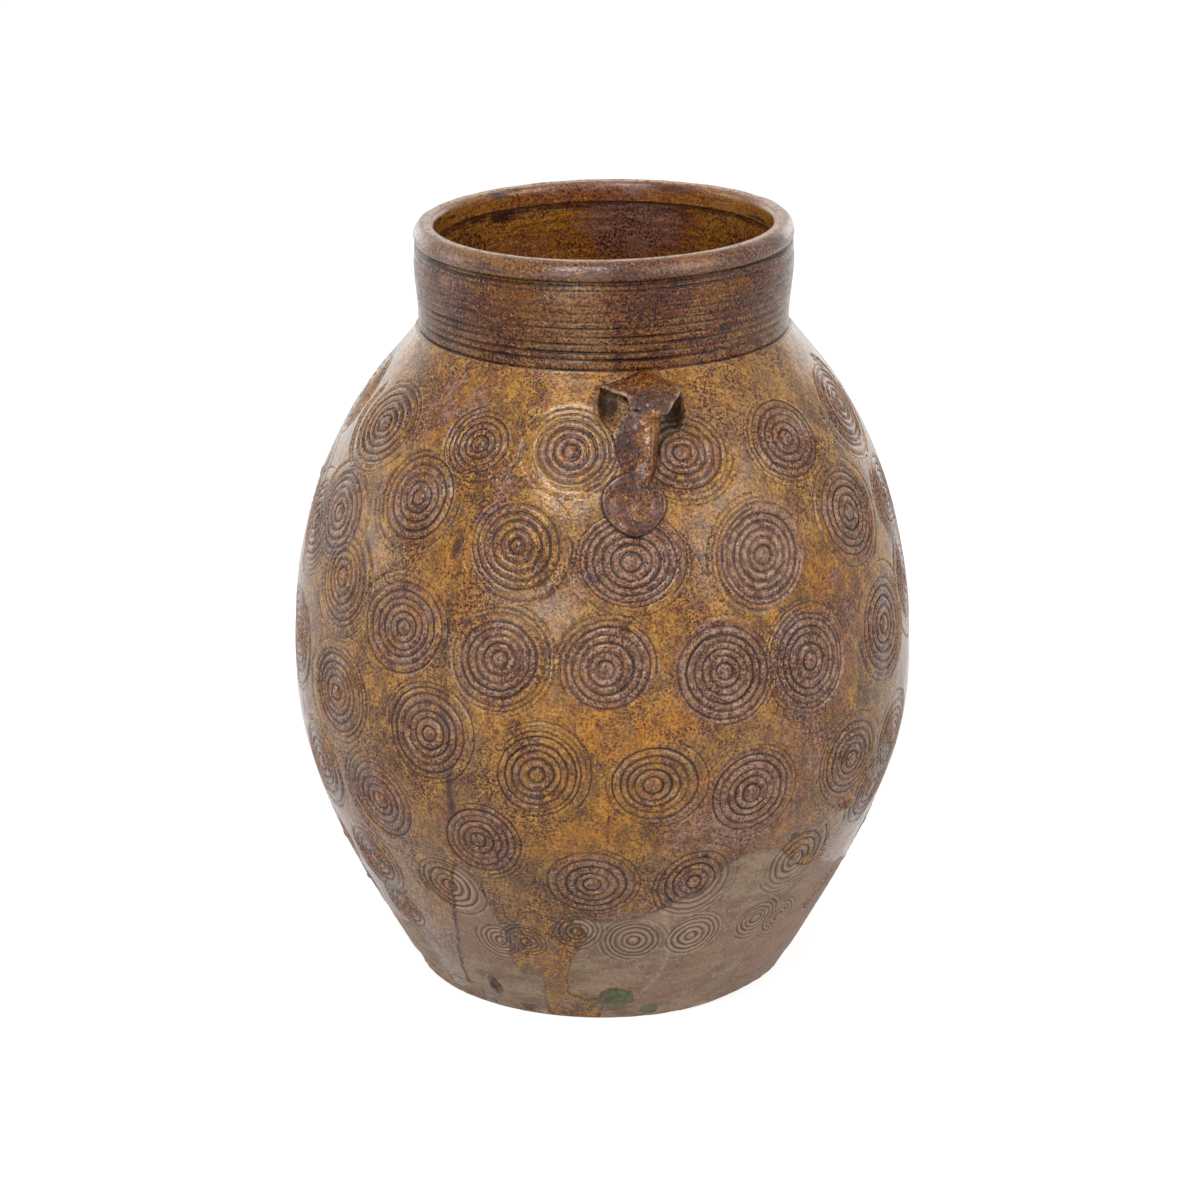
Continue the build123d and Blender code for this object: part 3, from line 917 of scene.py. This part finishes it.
def swung(points, azimuth):
    """Points made at the front of the row turned round the axis to an azimuth."""
    turn = math.radians(azimuth - front_azimuth)
    across = points[..., 0] * math.cos(turn) - points[..., 1] * math.sin(turn)
    along = points[..., 0] * math.sin(turn) + points[..., 1] * math.cos(turn)
    return np.stack([across, along, points[..., 2]], axis=-1)


def lug_piece(name, node, points, fields, azimuth, flipped=False):
    """Writes a grid made at the front as a piece of the lug at an azimuth, its end rings closed by poles."""
    placed = warped(swung(points, azimuth))
    poles = warped(swung(points[[0, -1]].mean(axis=1), azimuth))
    return make_piece(name, node, placed, fields, poles=poles, flipped=flipped)


# Lug strap, one row for each station down it: drop from its top, how far out from the wall, how far to the
# side, its width to the left and to the right of the ridge, how far each side folds down, its thickness
lug_top = neck_level - 0.3
lug_stations = (
    (0, -1.2, 5.7, 3, 3, 1.5, 1.5, 4.2),
    (1.5, 1.4, 5.7, 12, 8, 4, 3, 4.4),
    (3.6, 3.4, 5.6, 20.5, 14.6, 3.6, 4.6, 4.5),
    (7, 6.0, 5.6, 17, 15.4, 3.4, 4.6, 4.2),
    (11, 8.6, 5.5, 10.5, 14, 3.2, 3.8, 4.0),
    (15.5, 10.8, 5.6, 9.4, 10.2, 3.4, 2.6, 3.6),
    (19.0, 12.6, 5.9, 8.6, 7.2, 4.0, 1.8, 3.0),
    (21.0, 12.8, 6.0, 8.8, 4.6, 5.0, 1.4, 2.4),
    (21.9, 9.6, 5.0, 12.0, 5.0, 4.0, 3.2, 4.6),
    (26.5, 8.4, 4.8, 15.6, 4.6, 7.2, 5.5, 6.2),
    (31.5, 6.8, 4.2, 16.4, 4.6, 8.6, 7.6, 7.0),
    (37, 4.4, 3.2, 15.0, 4.6, 7.6, 6.6, 7.0),
    (42, 1.8, 1.6, 12.0, 4.4, 5.8, 5.0, 6.6),
    (47.5, -1.0, -0.4, 9.5, 4.7, 3.8, 3.6, 6.0),
    (53, -2.4, -2.6, 7.3, 5.1, 2.5, 2.5, 5.4),
    (59, -3.7, -5.0, 5.8, 5.1, 2.0, 2.0, 5.0),
)
lug_rows = 168
lug_columns = 72
lug_ridge_share = 0.18
lug_curl = 1.2
sideways = np.array([1.0, 0, 0])


def through(stations, count):
    """Rows read off a smooth curve through the stations, by the cubic that keeps each station's slope."""
    rows = np.array(stations, float)
    padded = np.concatenate([[2 * rows[0] - rows[1]], rows, [2 * rows[-1] - rows[-2]]])
    place = np.linspace(0, len(rows) - 1, count)
    step = np.minimum(place.astype(int), len(rows) - 2)
    t = (place - step)[:, None]
    a, b, c, d = (padded[step + k] for k in range(4))
    return 0.5 * (2 * b + (c - a) * t + (2 * a - 5 * b + 4 * c - d) * t**2 + (3 * b - a - 3 * c + d) * t**3)


def lug_frames(drop, out, side):
    """The strap's middle line, and the unit way off the wall at each of its points, square to the line."""
    radius, level, normal_out, normal_up = wall_at(arc_at(lug_top - drop))
    centre = np.concatenate([side, -(radius + normal_out * out), level + normal_up * out], axis=1)
    tangent = np.gradient(centre, axis=0)
    tangent /= np.linalg.norm(tangent, axis=1, keepdims=True)
    lift = np.cross(tangent, sideways)
    lift *= np.sign(lift[:, 2:] * normal_up - lift[:, 1:2] * normal_out)
    lift /= np.linalg.norm(lift, axis=1, keepdims=True)
    return centre[:, None], lift[:, None]


def lug_strap(node, azimuth, salt):
    """A folded strap swept down the wall.

    Its path stands out from the wall by each station's distance. Across it, with s from -1 to 1, the middle
    line falls away from the ridge as sqrt(s^2 + ridge^2) and the thickness swells as sqrt(1 - s^6).
    """
    stations = through(lug_stations, lug_rows).T[:, :, None]
    drop, out, side, left, right, left_fold, right_fold, thickness = stations
    centre, lift = lug_frames(drop, out, side)
    half = lug_columns // 2
    s = np.sin(np.linspace(-math.pi / 2, math.pi / 2, half + 1))
    s = np.concatenate([s, s[::-1][1:-1]])
    above = np.arange(lug_columns) <= half
    across = s * np.where(s < 0, left, right)
    fold = np.where(s < 0, left_fold, right_fold)
    ridge = np.sqrt(s**2 + lug_ridge_share**2) - lug_ridge_share
    ridge /= math.sqrt(1 + lug_ridge_share**2) - lug_ridge_share
    curl = lug_curl * smooth(abs(s), 0.7, 1) * hump(drop - 10, 4.5)
    body = thickness / 2 * np.sqrt(np.maximum(1 - s**6, 0)) * (1 - 0.35 * s**2)
    height = curl - fold * ridge + np.where(above, body, -body)
    points = centre + sideways * across[..., None] + lift * height[..., None]
    dents = 0.35 * waves(points, 12, salt) + 0.22 * waves(points, 4, salt + 1)
    points = points + lift * dents[..., None]
    hood = 0.5 * smooth(12 - drop, 0, 6)
    stem = 1.4 * hump(across + 1.0, 4.5) * smooth(drop, 18, 22) * smooth(46 - drop, 0, 6)
    amber = np.maximum(stem, hood) * above
    mauve = 0.55 * (1 - np.minimum(amber, 1)) * smooth(drop, 4, 14) + 0.15
    # Painted shade: the stem's two sloping flanks are darkened a little, and the strap's underside against
    # the wall is painted dark.
    painted_shade_flanks = smooth(-across, 4, 8) * smooth(drop, 20, 26) * smooth(50 - drop, 0, 8)
    painted_shade_flanks = painted_shade_flanks + smooth(across, 2.5, 4) * smooth(drop, 20, 24)
    streaked = 0.2 * smooth(waves(points, 9, salt + 3), 0.2, 1.2)
    dark = np.where(above, np.maximum(0.16 * np.minimum(painted_shade_flanks, 1), streaked), 0.9)
    fields = {
        "stains": (mauve, dark, amber),
        "wear": 0.8 * hump(abs(s) - 1, 0.1) * hump(drop - 12, 6) * above,
        "glaze": glaze_reach,
    }
    return lug_piece(f"{node}_pinch", node, points, fields, azimuth)


# Thumbed pad over the strap's tail: its radius at eight directions round it, counted from the right
pad_radii = (16.0, 13.0, 14.3, 14.3, 15.0, 14.7, 16.2, 15.4)
pad_level = 272.6
pad_side = -5.0
pad_thickness, pad_brim, pad_dish, pad_sink = 1.8, 1.1, 0.4, 1.6
pad_rows = 44
pad_columns = 120
pad_edge_waves = 6


def pad_outline(angle):
    """The pad's radius at each angle: its eight radii joined, with only the lowest waves of the line kept."""
    key = np.arange(len(pad_radii) + 1) * 2 * math.pi / len(pad_radii)
    edge = np.interp(angle, key, [*pad_radii, pad_radii[0]])
    kept = abs(np.fft.fftfreq(pad_columns, 1 / pad_columns)) < pad_edge_waves
    return np.real(np.fft.ifft(np.fft.fft(edge) * kept))


def lug_pad(node, azimuth, salt):
    """A pad laid over the wall: a disc whose height is a dish with a raised edge, closed by a skin below."""
    angle = np.linspace(0, 2 * math.pi, pad_columns, endpoint=False)
    edge = pad_outline(angle)
    share = np.concatenate([np.linspace(0.03, 0.8, 18), np.linspace(0.82, 1.0, 14)])
    height = pad_thickness + pad_brim * smooth(share, 0.35, 0.86) - pad_dish * hump(share, 0.5)
    height = height * np.sqrt(np.clip(1 - ((share - 0.80) / 0.2) ** 4, 0, 1) ** (share > 0.8))
    under = np.linspace(1.0, 0.03, pad_rows - len(share) + 1)[1:]
    rows = np.concatenate([share, under])[:, None]
    height = np.concatenate([height, -pad_sink * smooth(1 - under, 0, 0.2)])[:, None]
    across = rows * edge * np.cos(angle) + pad_side
    upward = rows * edge * np.sin(angle)
    radius, level, normal_out, normal_up = wall_at(arc_at(pad_level) + upward)
    laid = np.stack(np.broadcast_arrays(across, upward, height), axis=-1)
    out = height + 0.25 * waves(laid, 9, salt) * (height > 0)
    reach = radius + normal_out * out
    turn = across / radius
    points = np.stack([reach * np.sin(turn), -reach * np.cos(turn), level + normal_up * out], axis=-1)
    dark = 0.9 * hump(rows - 0.97, 0.05) * (height > -0.5)
    fields = {"stains": (0.4, dark, 0), "glaze": glaze_reach}
    return lug_piece(f"{node}_thumbed", node, points, fields, azimuth, flipped=True)


def linear(code):
    """A colour's linear values from its sRGB hex code."""
    values = [int(code[k : k + 2], 16) / 255 for k in (1, 3, 5)]
    return [v / 12.92 if v <= 0.04045 else ((v + 0.055) / 1.055) ** 2.4 for v in values] + [1.0]


def add_node(tree, kind, inputs=None, **settings):
    """Adds a node with its settings, and fills its inputs with values or with links from sockets."""
    made = tree.nodes.new(kind)
    for name, value in settings.items():
        setattr(made, name, value)
    for name, value in (inputs or {}).items():
        if isinstance(value, bpy.types.NodeSocket):
            tree.links.new(value, made.inputs[name])
        else:
            made.inputs[name].default_value = value
    return made


class Glazing:
    """Short forms for the nodes that the jar's finishes repeat, all in one material's tree."""

    def __init__(self, name):
        self.material = bpy.data.materials.new(name)
        self.material.use_nodes = True
        self.tree = self.material.node_tree
        self.tree.nodes.clear()
        self.place = add_node(self.tree, "ShaderNodeTexCoord").outputs["Object"]

    def chain(self, operation, values):
        """A math node for each further value, taking the result so far."""
        total = values[0]
        for value in values[1:]:
            made = add_node(self.tree, "ShaderNodeMath", {0: total, 1: value}, operation=operation)
            total = made.outputs[0]
        return total

    def times(self, *values):
        """The product of the values."""
        return self.chain("MULTIPLY", values)

    def plus(self, *values):
        """The sum of the values."""
        return self.chain("ADD", values)

    def minus(self, *values):
        """The first value less the ones after it."""
        return self.chain("SUBTRACT", values)

    def larger(self, *values):
        """The largest of the values."""
        return self.chain("MAXIMUM", values)

    def at_most(self, value, limit):
        """A value held at or below a limit."""
        return self.chain("MINIMUM", (value, limit))

    def ramp(self, value, low, high, to_low=0.0, to_high=1.0):
        """A value's smooth step from low to high, 3t^2 - 2t^3, drawn between two results."""
        inputs = {"Value": value, "From Min": low, "From Max": high, "To Min": to_low, "To Max": to_high}
        made = add_node(self.tree, "ShaderNodeMapRange", inputs, interpolation_type="SMOOTHSTEP")
        return made.outputs["Result"]

    def mottling(self, size, detail=2.0, roughness=0.5, stretch=1.0):
        """Noise whose patches are about size millimetres wide, drawn out along Z by the stretch."""
        place = self.place
        if stretch != 1:
            drawn = {"Vector": place, "Scale": (1, 1, 1 / stretch)}
            place = add_node(self.tree, "ShaderNodeMapping", drawn).outputs[0]
        inputs = {"Vector": place, "Scale": 1 / (size * MM), "Detail": detail, "Roughness": roughness}
        return add_node(self.tree, "ShaderNodeTexNoise", inputs).outputs["Fac"]

    def specks(self, size, reach, gather):
        """Round specks in cells about size millimetres wide, whose drawn radius is scaled by the gather."""
        inputs = {"Vector": self.place, "Scale": 1 / (size * MM)}
        cells = add_node(self.tree, "ShaderNodeTexVoronoi", inputs)
        drawn = add_node(self.tree, "ShaderNodeSeparateColor", {0: cells.outputs["Color"]}).outputs[0]
        return self.ramp(self.minus(cells.outputs["Distance"], self.times(drawn, reach, gather)), 0.07, -0.07)

    def coated(self, colour, *coats):
        """A colour turned to each coat's paint in turn by its factor. Colours are hex codes or sockets."""
        for factor, paint in coats:
            under, over = (linear(shade) if isinstance(shade, str) else shade for shade in (colour, paint))
            made = add_node(self.tree, "ShaderNodeMix", {0: factor, 6: under, 7: over}, data_type="RGBA")
            colour = made.outputs[2]
        return colour

    def field(self, name):
        """A float field of the mesh."""
        return add_node(self.tree, "ShaderNodeAttribute", attribute_name=name).outputs["Fac"]

    def vector_field(self, name):
        """The three parts of a vector field of the mesh."""
        made = add_node(self.tree, "ShaderNodeAttribute", attribute_name=name)
        parts = add_node(self.tree, "ShaderNodeSeparateXYZ", {0: made.outputs["Vector"]})
        return parts.outputs[0], parts.outputs[1], parts.outputs[2]


def comb_masks(g, layers):
    """Groove and crest of the combing, from each layer's cos and sin of the phase and its hold."""
    grooves, crests = [], []
    for layer in range(layers):
        cosine, sine, hold = g.vector_field(f"comb_{layer}")
        size = g.chain("SQRT", (g.plus(g.times(cosine, cosine), g.times(sine, sine)), 0.0))
        even = g.chain("DIVIDE", (cosine, size))
        grooves.append(g.times(g.ramp(even, 0.58, 0.88), hold))
        crests.append(g.times(g.ramp(even, -0.1, -0.85), hold))
    return g.larger(*grooves), g.larger(*crests)


def bare_clay(g, broad, fine, grain, groove, crest, salt):
    """The body where no ash fell: mottled by the fire, sandy and salted in a run, with a painted highlight on
    the combing's crests and painted shade in its grooves.
    """
    clay_mottle = g.mottling(16, 4, 0.6, stretch=0.4)
    return g.coated(
        "#725A48",
        (g.ramp(clay_mottle, 0.35, 0.66), "#967E68"),
        (g.ramp(broad, 0.45, 0.62, 0.0, 0.6), "#8A6856"),
        (g.ramp(fine, 0.55, 0.64, 0.0, 0.6), "#5F493B"),
        (g.ramp(grain, 0.42, 0.30, 0.0, 0.5), "#B7A698"),
        # Painted highlight on the crests and painted shade in the grooves.
        (g.times(crest, 0.45), "#B8A392"),
        (g.times(groove, 0.85), "#463529"),
        (g.times(salt, g.ramp(fine, 0.4, 0.6)), "#C4BCB2"),
    )


wall_colours = ("#A47426", "#A86A04", "#8E6C5C", "#664638")


def ash_glaze(name, colours=wall_colours, layers=0, dots=1.0, run=1.4, gloss=0.11, shine=0.34):
    """Ash-glazed stoneware: iron-bearing clay, salted with wood ash that melted and ran in the kiln.

    The eye gets a golden-brown glass, peppered with iron specks, mauve where it is thin on the clay's crests,
    blue-black where it pools in the combing and amber where it lies thick. Below its edge the clay is bare.
    The colours are the ground's, the thick pools', the thin cover's and the cover's shade. Dots scale the
    specks, run draws the mottling out, gloss is the least roughness and shine the specular level.
    """
    g = Glazing(name)
    ground, pool, cover, shade = colours
    mauve, dark, amber = g.vector_field("stains")
    green, salt, iron = g.vector_field("marks")
    inside, wear, glaze = g.field("inside"), g.field("wear"), g.field("glaze")
    groove, crest = comb_masks(g, layers) if layers else (g.field("scored"), 0.0)
    broad, mottle = g.mottling(60, 3), g.mottling(11, 4, 0.62, stretch=run)
    clump, spot = (g.mottling(size, 4, 0.7, stretch=run) for size in (7, 3.4))
    fine, grain = g.mottling(2.0, 3, 0.65), g.mottling(1.3, 2, 0.6)
    crowd = g.plus(g.ramp(g.mottling(26, 3, 0.65), 0.42, 0.62, 0.45, 1.0), g.times(clump, 0.5))
    gather = g.times(crowd, g.ramp(amber, 0.0, 1.0, 1.0, 0.8), dots, g.ramp(inside, 0.0, 1.0, 1.0, 0.72))

    # How thick the glass lies, how thin it is, the rust at the thin part's edge, and where it pooled dark
    thick = g.times(g.plus(amber, g.ramp(broad, 0.55, 0.75, 0.0, 0.3)), g.ramp(mottle, 0.3, 0.6, 0.45, 1.0))
    spread = g.plus(mauve, g.plus(g.times(clump, 2.2), g.times(mottle, 1.3)))
    thin = g.ramp(spread, 2.04, 2.34)
    rust = g.times(g.ramp(spread, 1.92, 2.08), g.ramp(spread, 2.36, 2.14))
    veil = g.coated(cover, (g.ramp(spot, 0.4, 0.6), shade), (g.times(inside, 0.7), "#80584E"))
    pooled = g.plus(g.times(dark, 1.3), g.plus(g.times(clump, 1.6), mottle))
    ink = g.times(groove, g.ramp(g.mottling(14, 3, 0.6), 0.34, 0.56, 0.72, 1.0))
    worn = g.times(wear, g.ramp(spot, 0.36, 0.56))
    glass = g.coated(
        "#6E4B1E",
        (g.ramp(mottle, 0.38, 0.60), ground),
        (g.ramp(broad, 0.42, 0.66, 0.0, 0.5), "#8E6E4C"),
        (g.at_most(thick, 0.92), pool),
        # The inside turned ochre: partly the inner glaze's own colour, partly painted light that brightens
        # the dim inside of the jar.
        (g.times(inside, 0.6), "#9C661C"),
        (g.times(thin, 0.88), veil),
        (g.times(rust, g.ramp(inside, 0.0, 1.0, 0.5, 0.9)), "#7A3C1A"),
        # Paler tan on the combing's crests: partly the glaze breaking thin there, partly a painted highlight.
        (g.times(crest, g.ramp(grain, 0.36, 0.52, 0.6, 0.1)), "#A88056"),
        (g.times(g.ramp(grain, 0.44, 0.30), g.ramp(clump, 0.62, 0.40, 0.12, 0.55)), "#BE985C"),
        (g.times(g.ramp(pooled, 1.6, 2.25), g.ramp(dark, 0.02, 0.3, 0.0, 0.94)), "#1D1210"),
        (g.times(g.ramp(spot, 0.5, 0.62), gather, 0.68), "#5C3722"),
        (g.times(g.ramp(grain, 0.52, 0.60), gather, 0.95), "#4A2215"),
        (g.times(g.specks(0.95, 0.48, gather), 0.9), "#4A1C10"),
        (g.times(g.specks(1.35, 0.38, gather), 0.95), "#120907"),
        (ink, g.coated("#15171B", (g.ramp(mottle, 0.4, 0.62), "#22120D"))),
        (g.at_most(worn, 0.9), "#B89A84"),
    )

    # The glass ends in a broken edge with a dark brim. Rusty and green spots lie on it near the foot, and the
    # rusty colour also darkens the lugs' eyes as painted shade.
    edge = g.plus(glaze, g.ramp(g.mottling(1.8, 2), 0.3, 0.7, -0.35, 0.35))
    covered = g.ramp(edge, -0.18, 0.18)
    brim = g.times(g.ramp(edge, 0.2, 0.9), g.ramp(edge, 2.4, 1.2), 0.65)
    rusty_and_painted_shade = g.times(iron, g.ramp(spot, 0.38, 0.56, 0.55, 1.15))
    glass = g.coated(
        glass,
        (brim, "#40281F"),
        # Rusty spots, which in the lugs' eyes are also painted shade.
        (g.at_most(rusty_and_painted_shade, 0.93), g.coated("#160C08", (g.ramp(fine, 0.4, 0.6), "#2C180E"))),
        (g.at_most(green, 0.95), g.coated("#303810", (g.ramp(spot, 0.4, 0.6), "#585A1C"))),
    )
    colour = g.coated(bare_clay(g, broad, fine, grain, groove, crest, salt), (covered, glass))

    rough = g.plus(g.ramp(mottle, 0.3, 0.7, gloss, gloss + 0.12), g.times(thin, 0.08))
    rough = g.plus(rough, g.times(worn, 0.2), g.times(rusty_and_painted_shade, 0.4))
    rough = g.times(rough, g.ramp(inside, 0.0, 1.0, 1.0, 0.5))
    rough = add_node(g.tree, "ShaderNodeMix", {0: covered, 2: 0.60, 3: rough}).outputs[0]

    # Grit, ripples and the combing's own step, each with its height in millimetres
    grit, ripple = g.mottling(0.9, 2, 0.6), g.mottling(9, 2, 0.5)
    bumps = ((grit, 0.08), (fine, 0.17), (spot, 0.12), (ripple, 0.28), (groove, -0.45))
    height = g.plus(*(g.times(part, millimetres) for part, millimetres in bumps))
    bump = add_node(g.tree, "ShaderNodeBump", {"Height": height, "Distance": MM, "Strength": 1.0})
    inputs = {"Base Color": colour, "Roughness": rough, "Normal": bump.outputs[0], "IOR": 1.5}
    inputs["Specular IOR Level"] = shine
    shader = add_node(g.tree, "ShaderNodeBsdfPrincipled", inputs)
    add_node(g.tree, "ShaderNodeOutputMaterial", {"Surface": shader.outputs[0]})
    return g.material


# On the collar the glaze lies thin and dark, drawn along the scored lines. On the lip it is streaked and the
# glossiest, and on the lugs it pools dark. The trimmed foot is bare where its glaze field is below zero.
collar_colours = ("#74490C", "#824F06", "#50342A", "#2A1A16")
lip_colours = ("#704C26", "#84540E", "#745850", "#3C2822")
lug_colours = ("#5A3C16", "#8E5802", "#4A3836", "#2A1E1E")
layer_count = len(circle_layers([*shown_circles, *hidden_circles()]))
wall_finish = ash_glaze("ash_glazed_combed_wall", layers=layer_count)
collar_finish = ash_glaze("ash_glazed_collar", collar_colours, dots=1.4, run=0.16, gloss=0.15, shine=0.22)
lip_finish = ash_glaze("ash_glazed_lip", lip_colours, dots=1.1, run=0.16, gloss=0.08, shine=0.45)
slab_finish = ash_glaze("bare_trimmed_foot")
lug_finish = ash_glaze("pooled_glaze_lug", lug_colours, dots=1.5, gloss=0.12, shine=0.4)

for band_piece in wall_bands():
    band_piece.data.materials.append(wall_finish)
collar_ring().data.materials.append(collar_finish)
lip_ring().data.materials.append(lip_finish)
slab_disc().data.materials.append(slab_finish)
for lug_side, lug_azimuth, lug_salt in (("front", front_azimuth, 70), ("rear", front_azimuth + 180, 80)):
    lug_strap(f"{lug_side}_lug_strap", lug_azimuth, lug_salt).data.materials.append(lug_finish)
    lug_pad(f"{lug_side}_lug_pad", lug_azimuth, lug_salt + 5).data.materials.append(lug_finish)

# Camera: looks at the jar's axis from in front and above, turned to where the photograph has the lug
camera_distance = 1963.3
camera_elevation = 18.70
camera_roll = -0.22
camera_pivot_level = 200
camera_slide = (1.22, 15.51)
camera_lens = 120
camera_sensor = 36
camera_far_end = 50


def photograph_camera():
    """A camera whose axes are the view's right, up and back, slid sideways and up in its own plane."""
    rise, roll = math.radians(camera_elevation), math.radians(camera_roll)
    right = Vector((1, 0, 0))
    up = Vector((0, math.sin(rise), math.cos(rise)))
    forward = Vector((0, math.cos(rise), -math.sin(rise)))
    rolled_right = right * math.cos(roll) - up * math.sin(roll)
    rolled_up = right * math.sin(roll) + up * math.cos(roll)
    place = Vector((0, 0, camera_pivot_level)) - forward * camera_distance
    place -= rolled_right * camera_slide[0] + rolled_up * camera_slide[1]
    axes = Matrix([rolled_right, rolled_up, -forward]).transposed().to_4x4()
    data = bpy.data.cameras.new("photograph_camera")
    data.lens = camera_lens
    data.sensor_width = camera_sensor
    data.clip_end = camera_far_end
    camera = bpy.data.objects.new("photograph_camera", data)
    turn = Matrix.Rotation(math.radians(-front_azimuth), 4, "Z")
    camera.matrix_world = turn @ Matrix.Translation(place * MM) @ axes
    bpy.context.scene.collection.objects.link(camera)
    bpy.context.scene.camera = camera


# Lamps: name, azimuth and elevation, distance, width and height in metres, and power in watts
soft_boxes = (
    ("key_soft_box", -21, 46, 2.2, 0.65, 0.5, 23.5),
    ("right_soft_box", 54, 24, 2.4, 1.4, 1.5, 25),
    ("left_soft_box", -98, 6, 2.4, 0.9, 1.6, 14),
    ("back_left_soft_box", -146, 8, 2.6, 1.5, 1.5, 9),
    ("back_right_soft_box", 150, 8, 2.6, 1.2, 1.5, 7),
    ("low_soft_box", -22, 4, 2.6, 1.1, 1.1, 20),
)
lamp_aim_height = 0.2


def soft_box(name, azimuth, elevation, distance, width, height, power):
    """A rectangular lamp at an azimuth and elevation round the jar, facing the jar's axis."""
    lamp = bpy.data.lights.new(name, "AREA")
    lamp.shape = "RECTANGLE"
    lamp.size, lamp.size_y = width, height
    lamp.energy = power
    holder = bpy.data.objects.new(name, lamp)
    turn, rise = math.radians(azimuth - front_azimuth), math.radians(elevation)
    aim = Vector((math.sin(turn) * math.cos(rise), -math.cos(turn) * math.cos(rise), math.sin(rise)))
    holder.location = Vector((0, 0, lamp_aim_height)) + aim * distance
    holder.rotation_euler = aim.to_track_quat("Z", "Y").to_euler()
    bpy.context.scene.collection.objects.link(holder)


white_rays = ("Is Camera Ray", "Is Transmission Ray", "Is Glossy Ray")


def shown_rays(tree, names):
    """1 for the rays of the named kinds and 0 for all others."""
    rays = add_node(tree, "ShaderNodeLightPath")
    total = rays.outputs[names[0]]
    for name in names[1:]:
        inputs = {0: total, 1: rays.outputs[name]}
        total = add_node(tree, "ShaderNodeMath", inputs, operation="MAXIMUM").outputs[0]
    return total


# The floor's half width in metres, its grey and its glow, and the surround as soft light and as it is seen
floor_reach = 7.0
floor_grey, floor_glow = (0.4, 0.4, 0.4, 1), 0.8
soft_world, white_world = 0.5, 1.0
white = (1, 1, 1, 1)


def studio_floor():
    """A paper floor that takes the jar's shadow, and shows white to the camera and in the glaze."""
    mesh = bpy.data.meshes.new("studio_floor")
    corners = [(x * floor_reach, y * floor_reach, 0) for x, y in ((-1, -1), (1, -1), (1, 1), (-1, 1))]
    mesh.from_pydata(corners, [], [(0, 1, 2, 3)])
    floor = bpy.data.objects.new("studio_floor", mesh)
    bpy.context.scene.collection.objects.link(floor)
    paper = bpy.data.materials.new("studio_paper")
    paper.use_nodes = True
    tree = paper.node_tree
    tree.nodes.clear()
    matt = add_node(tree, "ShaderNodeBsdfDiffuse", {"Color": floor_grey}).outputs[0]
    glow = add_node(tree, "ShaderNodeEmission", {"Color": white, "Strength": floor_glow}).outputs[0]
    lit = add_node(tree, "ShaderNodeAddShader", {0: matt, 1: glow}).outputs[0]
    seen = shown_rays(tree, white_rays)
    surface = add_node(tree, "ShaderNodeMixShader", {0: seen, 1: matt, 2: lit}).outputs[0]
    add_node(tree, "ShaderNodeOutputMaterial", {"Surface": surface})
    mesh.materials.append(paper)


def studio_surround():
    """A white surround: plain to the camera and in the glaze's reflections, softer as light on the jar."""
    world = bpy.data.worlds.new("studio_surround")
    bpy.context.scene.world = world
    world.use_nodes = True
    tree = world.node_tree
    tree.nodes.clear()
    shown = shown_rays(tree, white_rays)
    soft = add_node(tree, "ShaderNodeBackground", {"Color": white, "Strength": soft_world}).outputs[0]
    plain = add_node(tree, "ShaderNodeBackground", {"Color": white, "Strength": white_world}).outputs[0]
    both = add_node(tree, "ShaderNodeMixShader", {0: shown, 1: soft, 2: plain}).outputs[0]
    add_node(tree, "ShaderNodeOutputWorld", {"Surface": both})


photograph_camera()
studio_floor()
studio_surround()
for soft_box_row in soft_boxes:
    soft_box(*soft_box_row)
bpy.context.scene.view_settings.view_transform = "Standard"
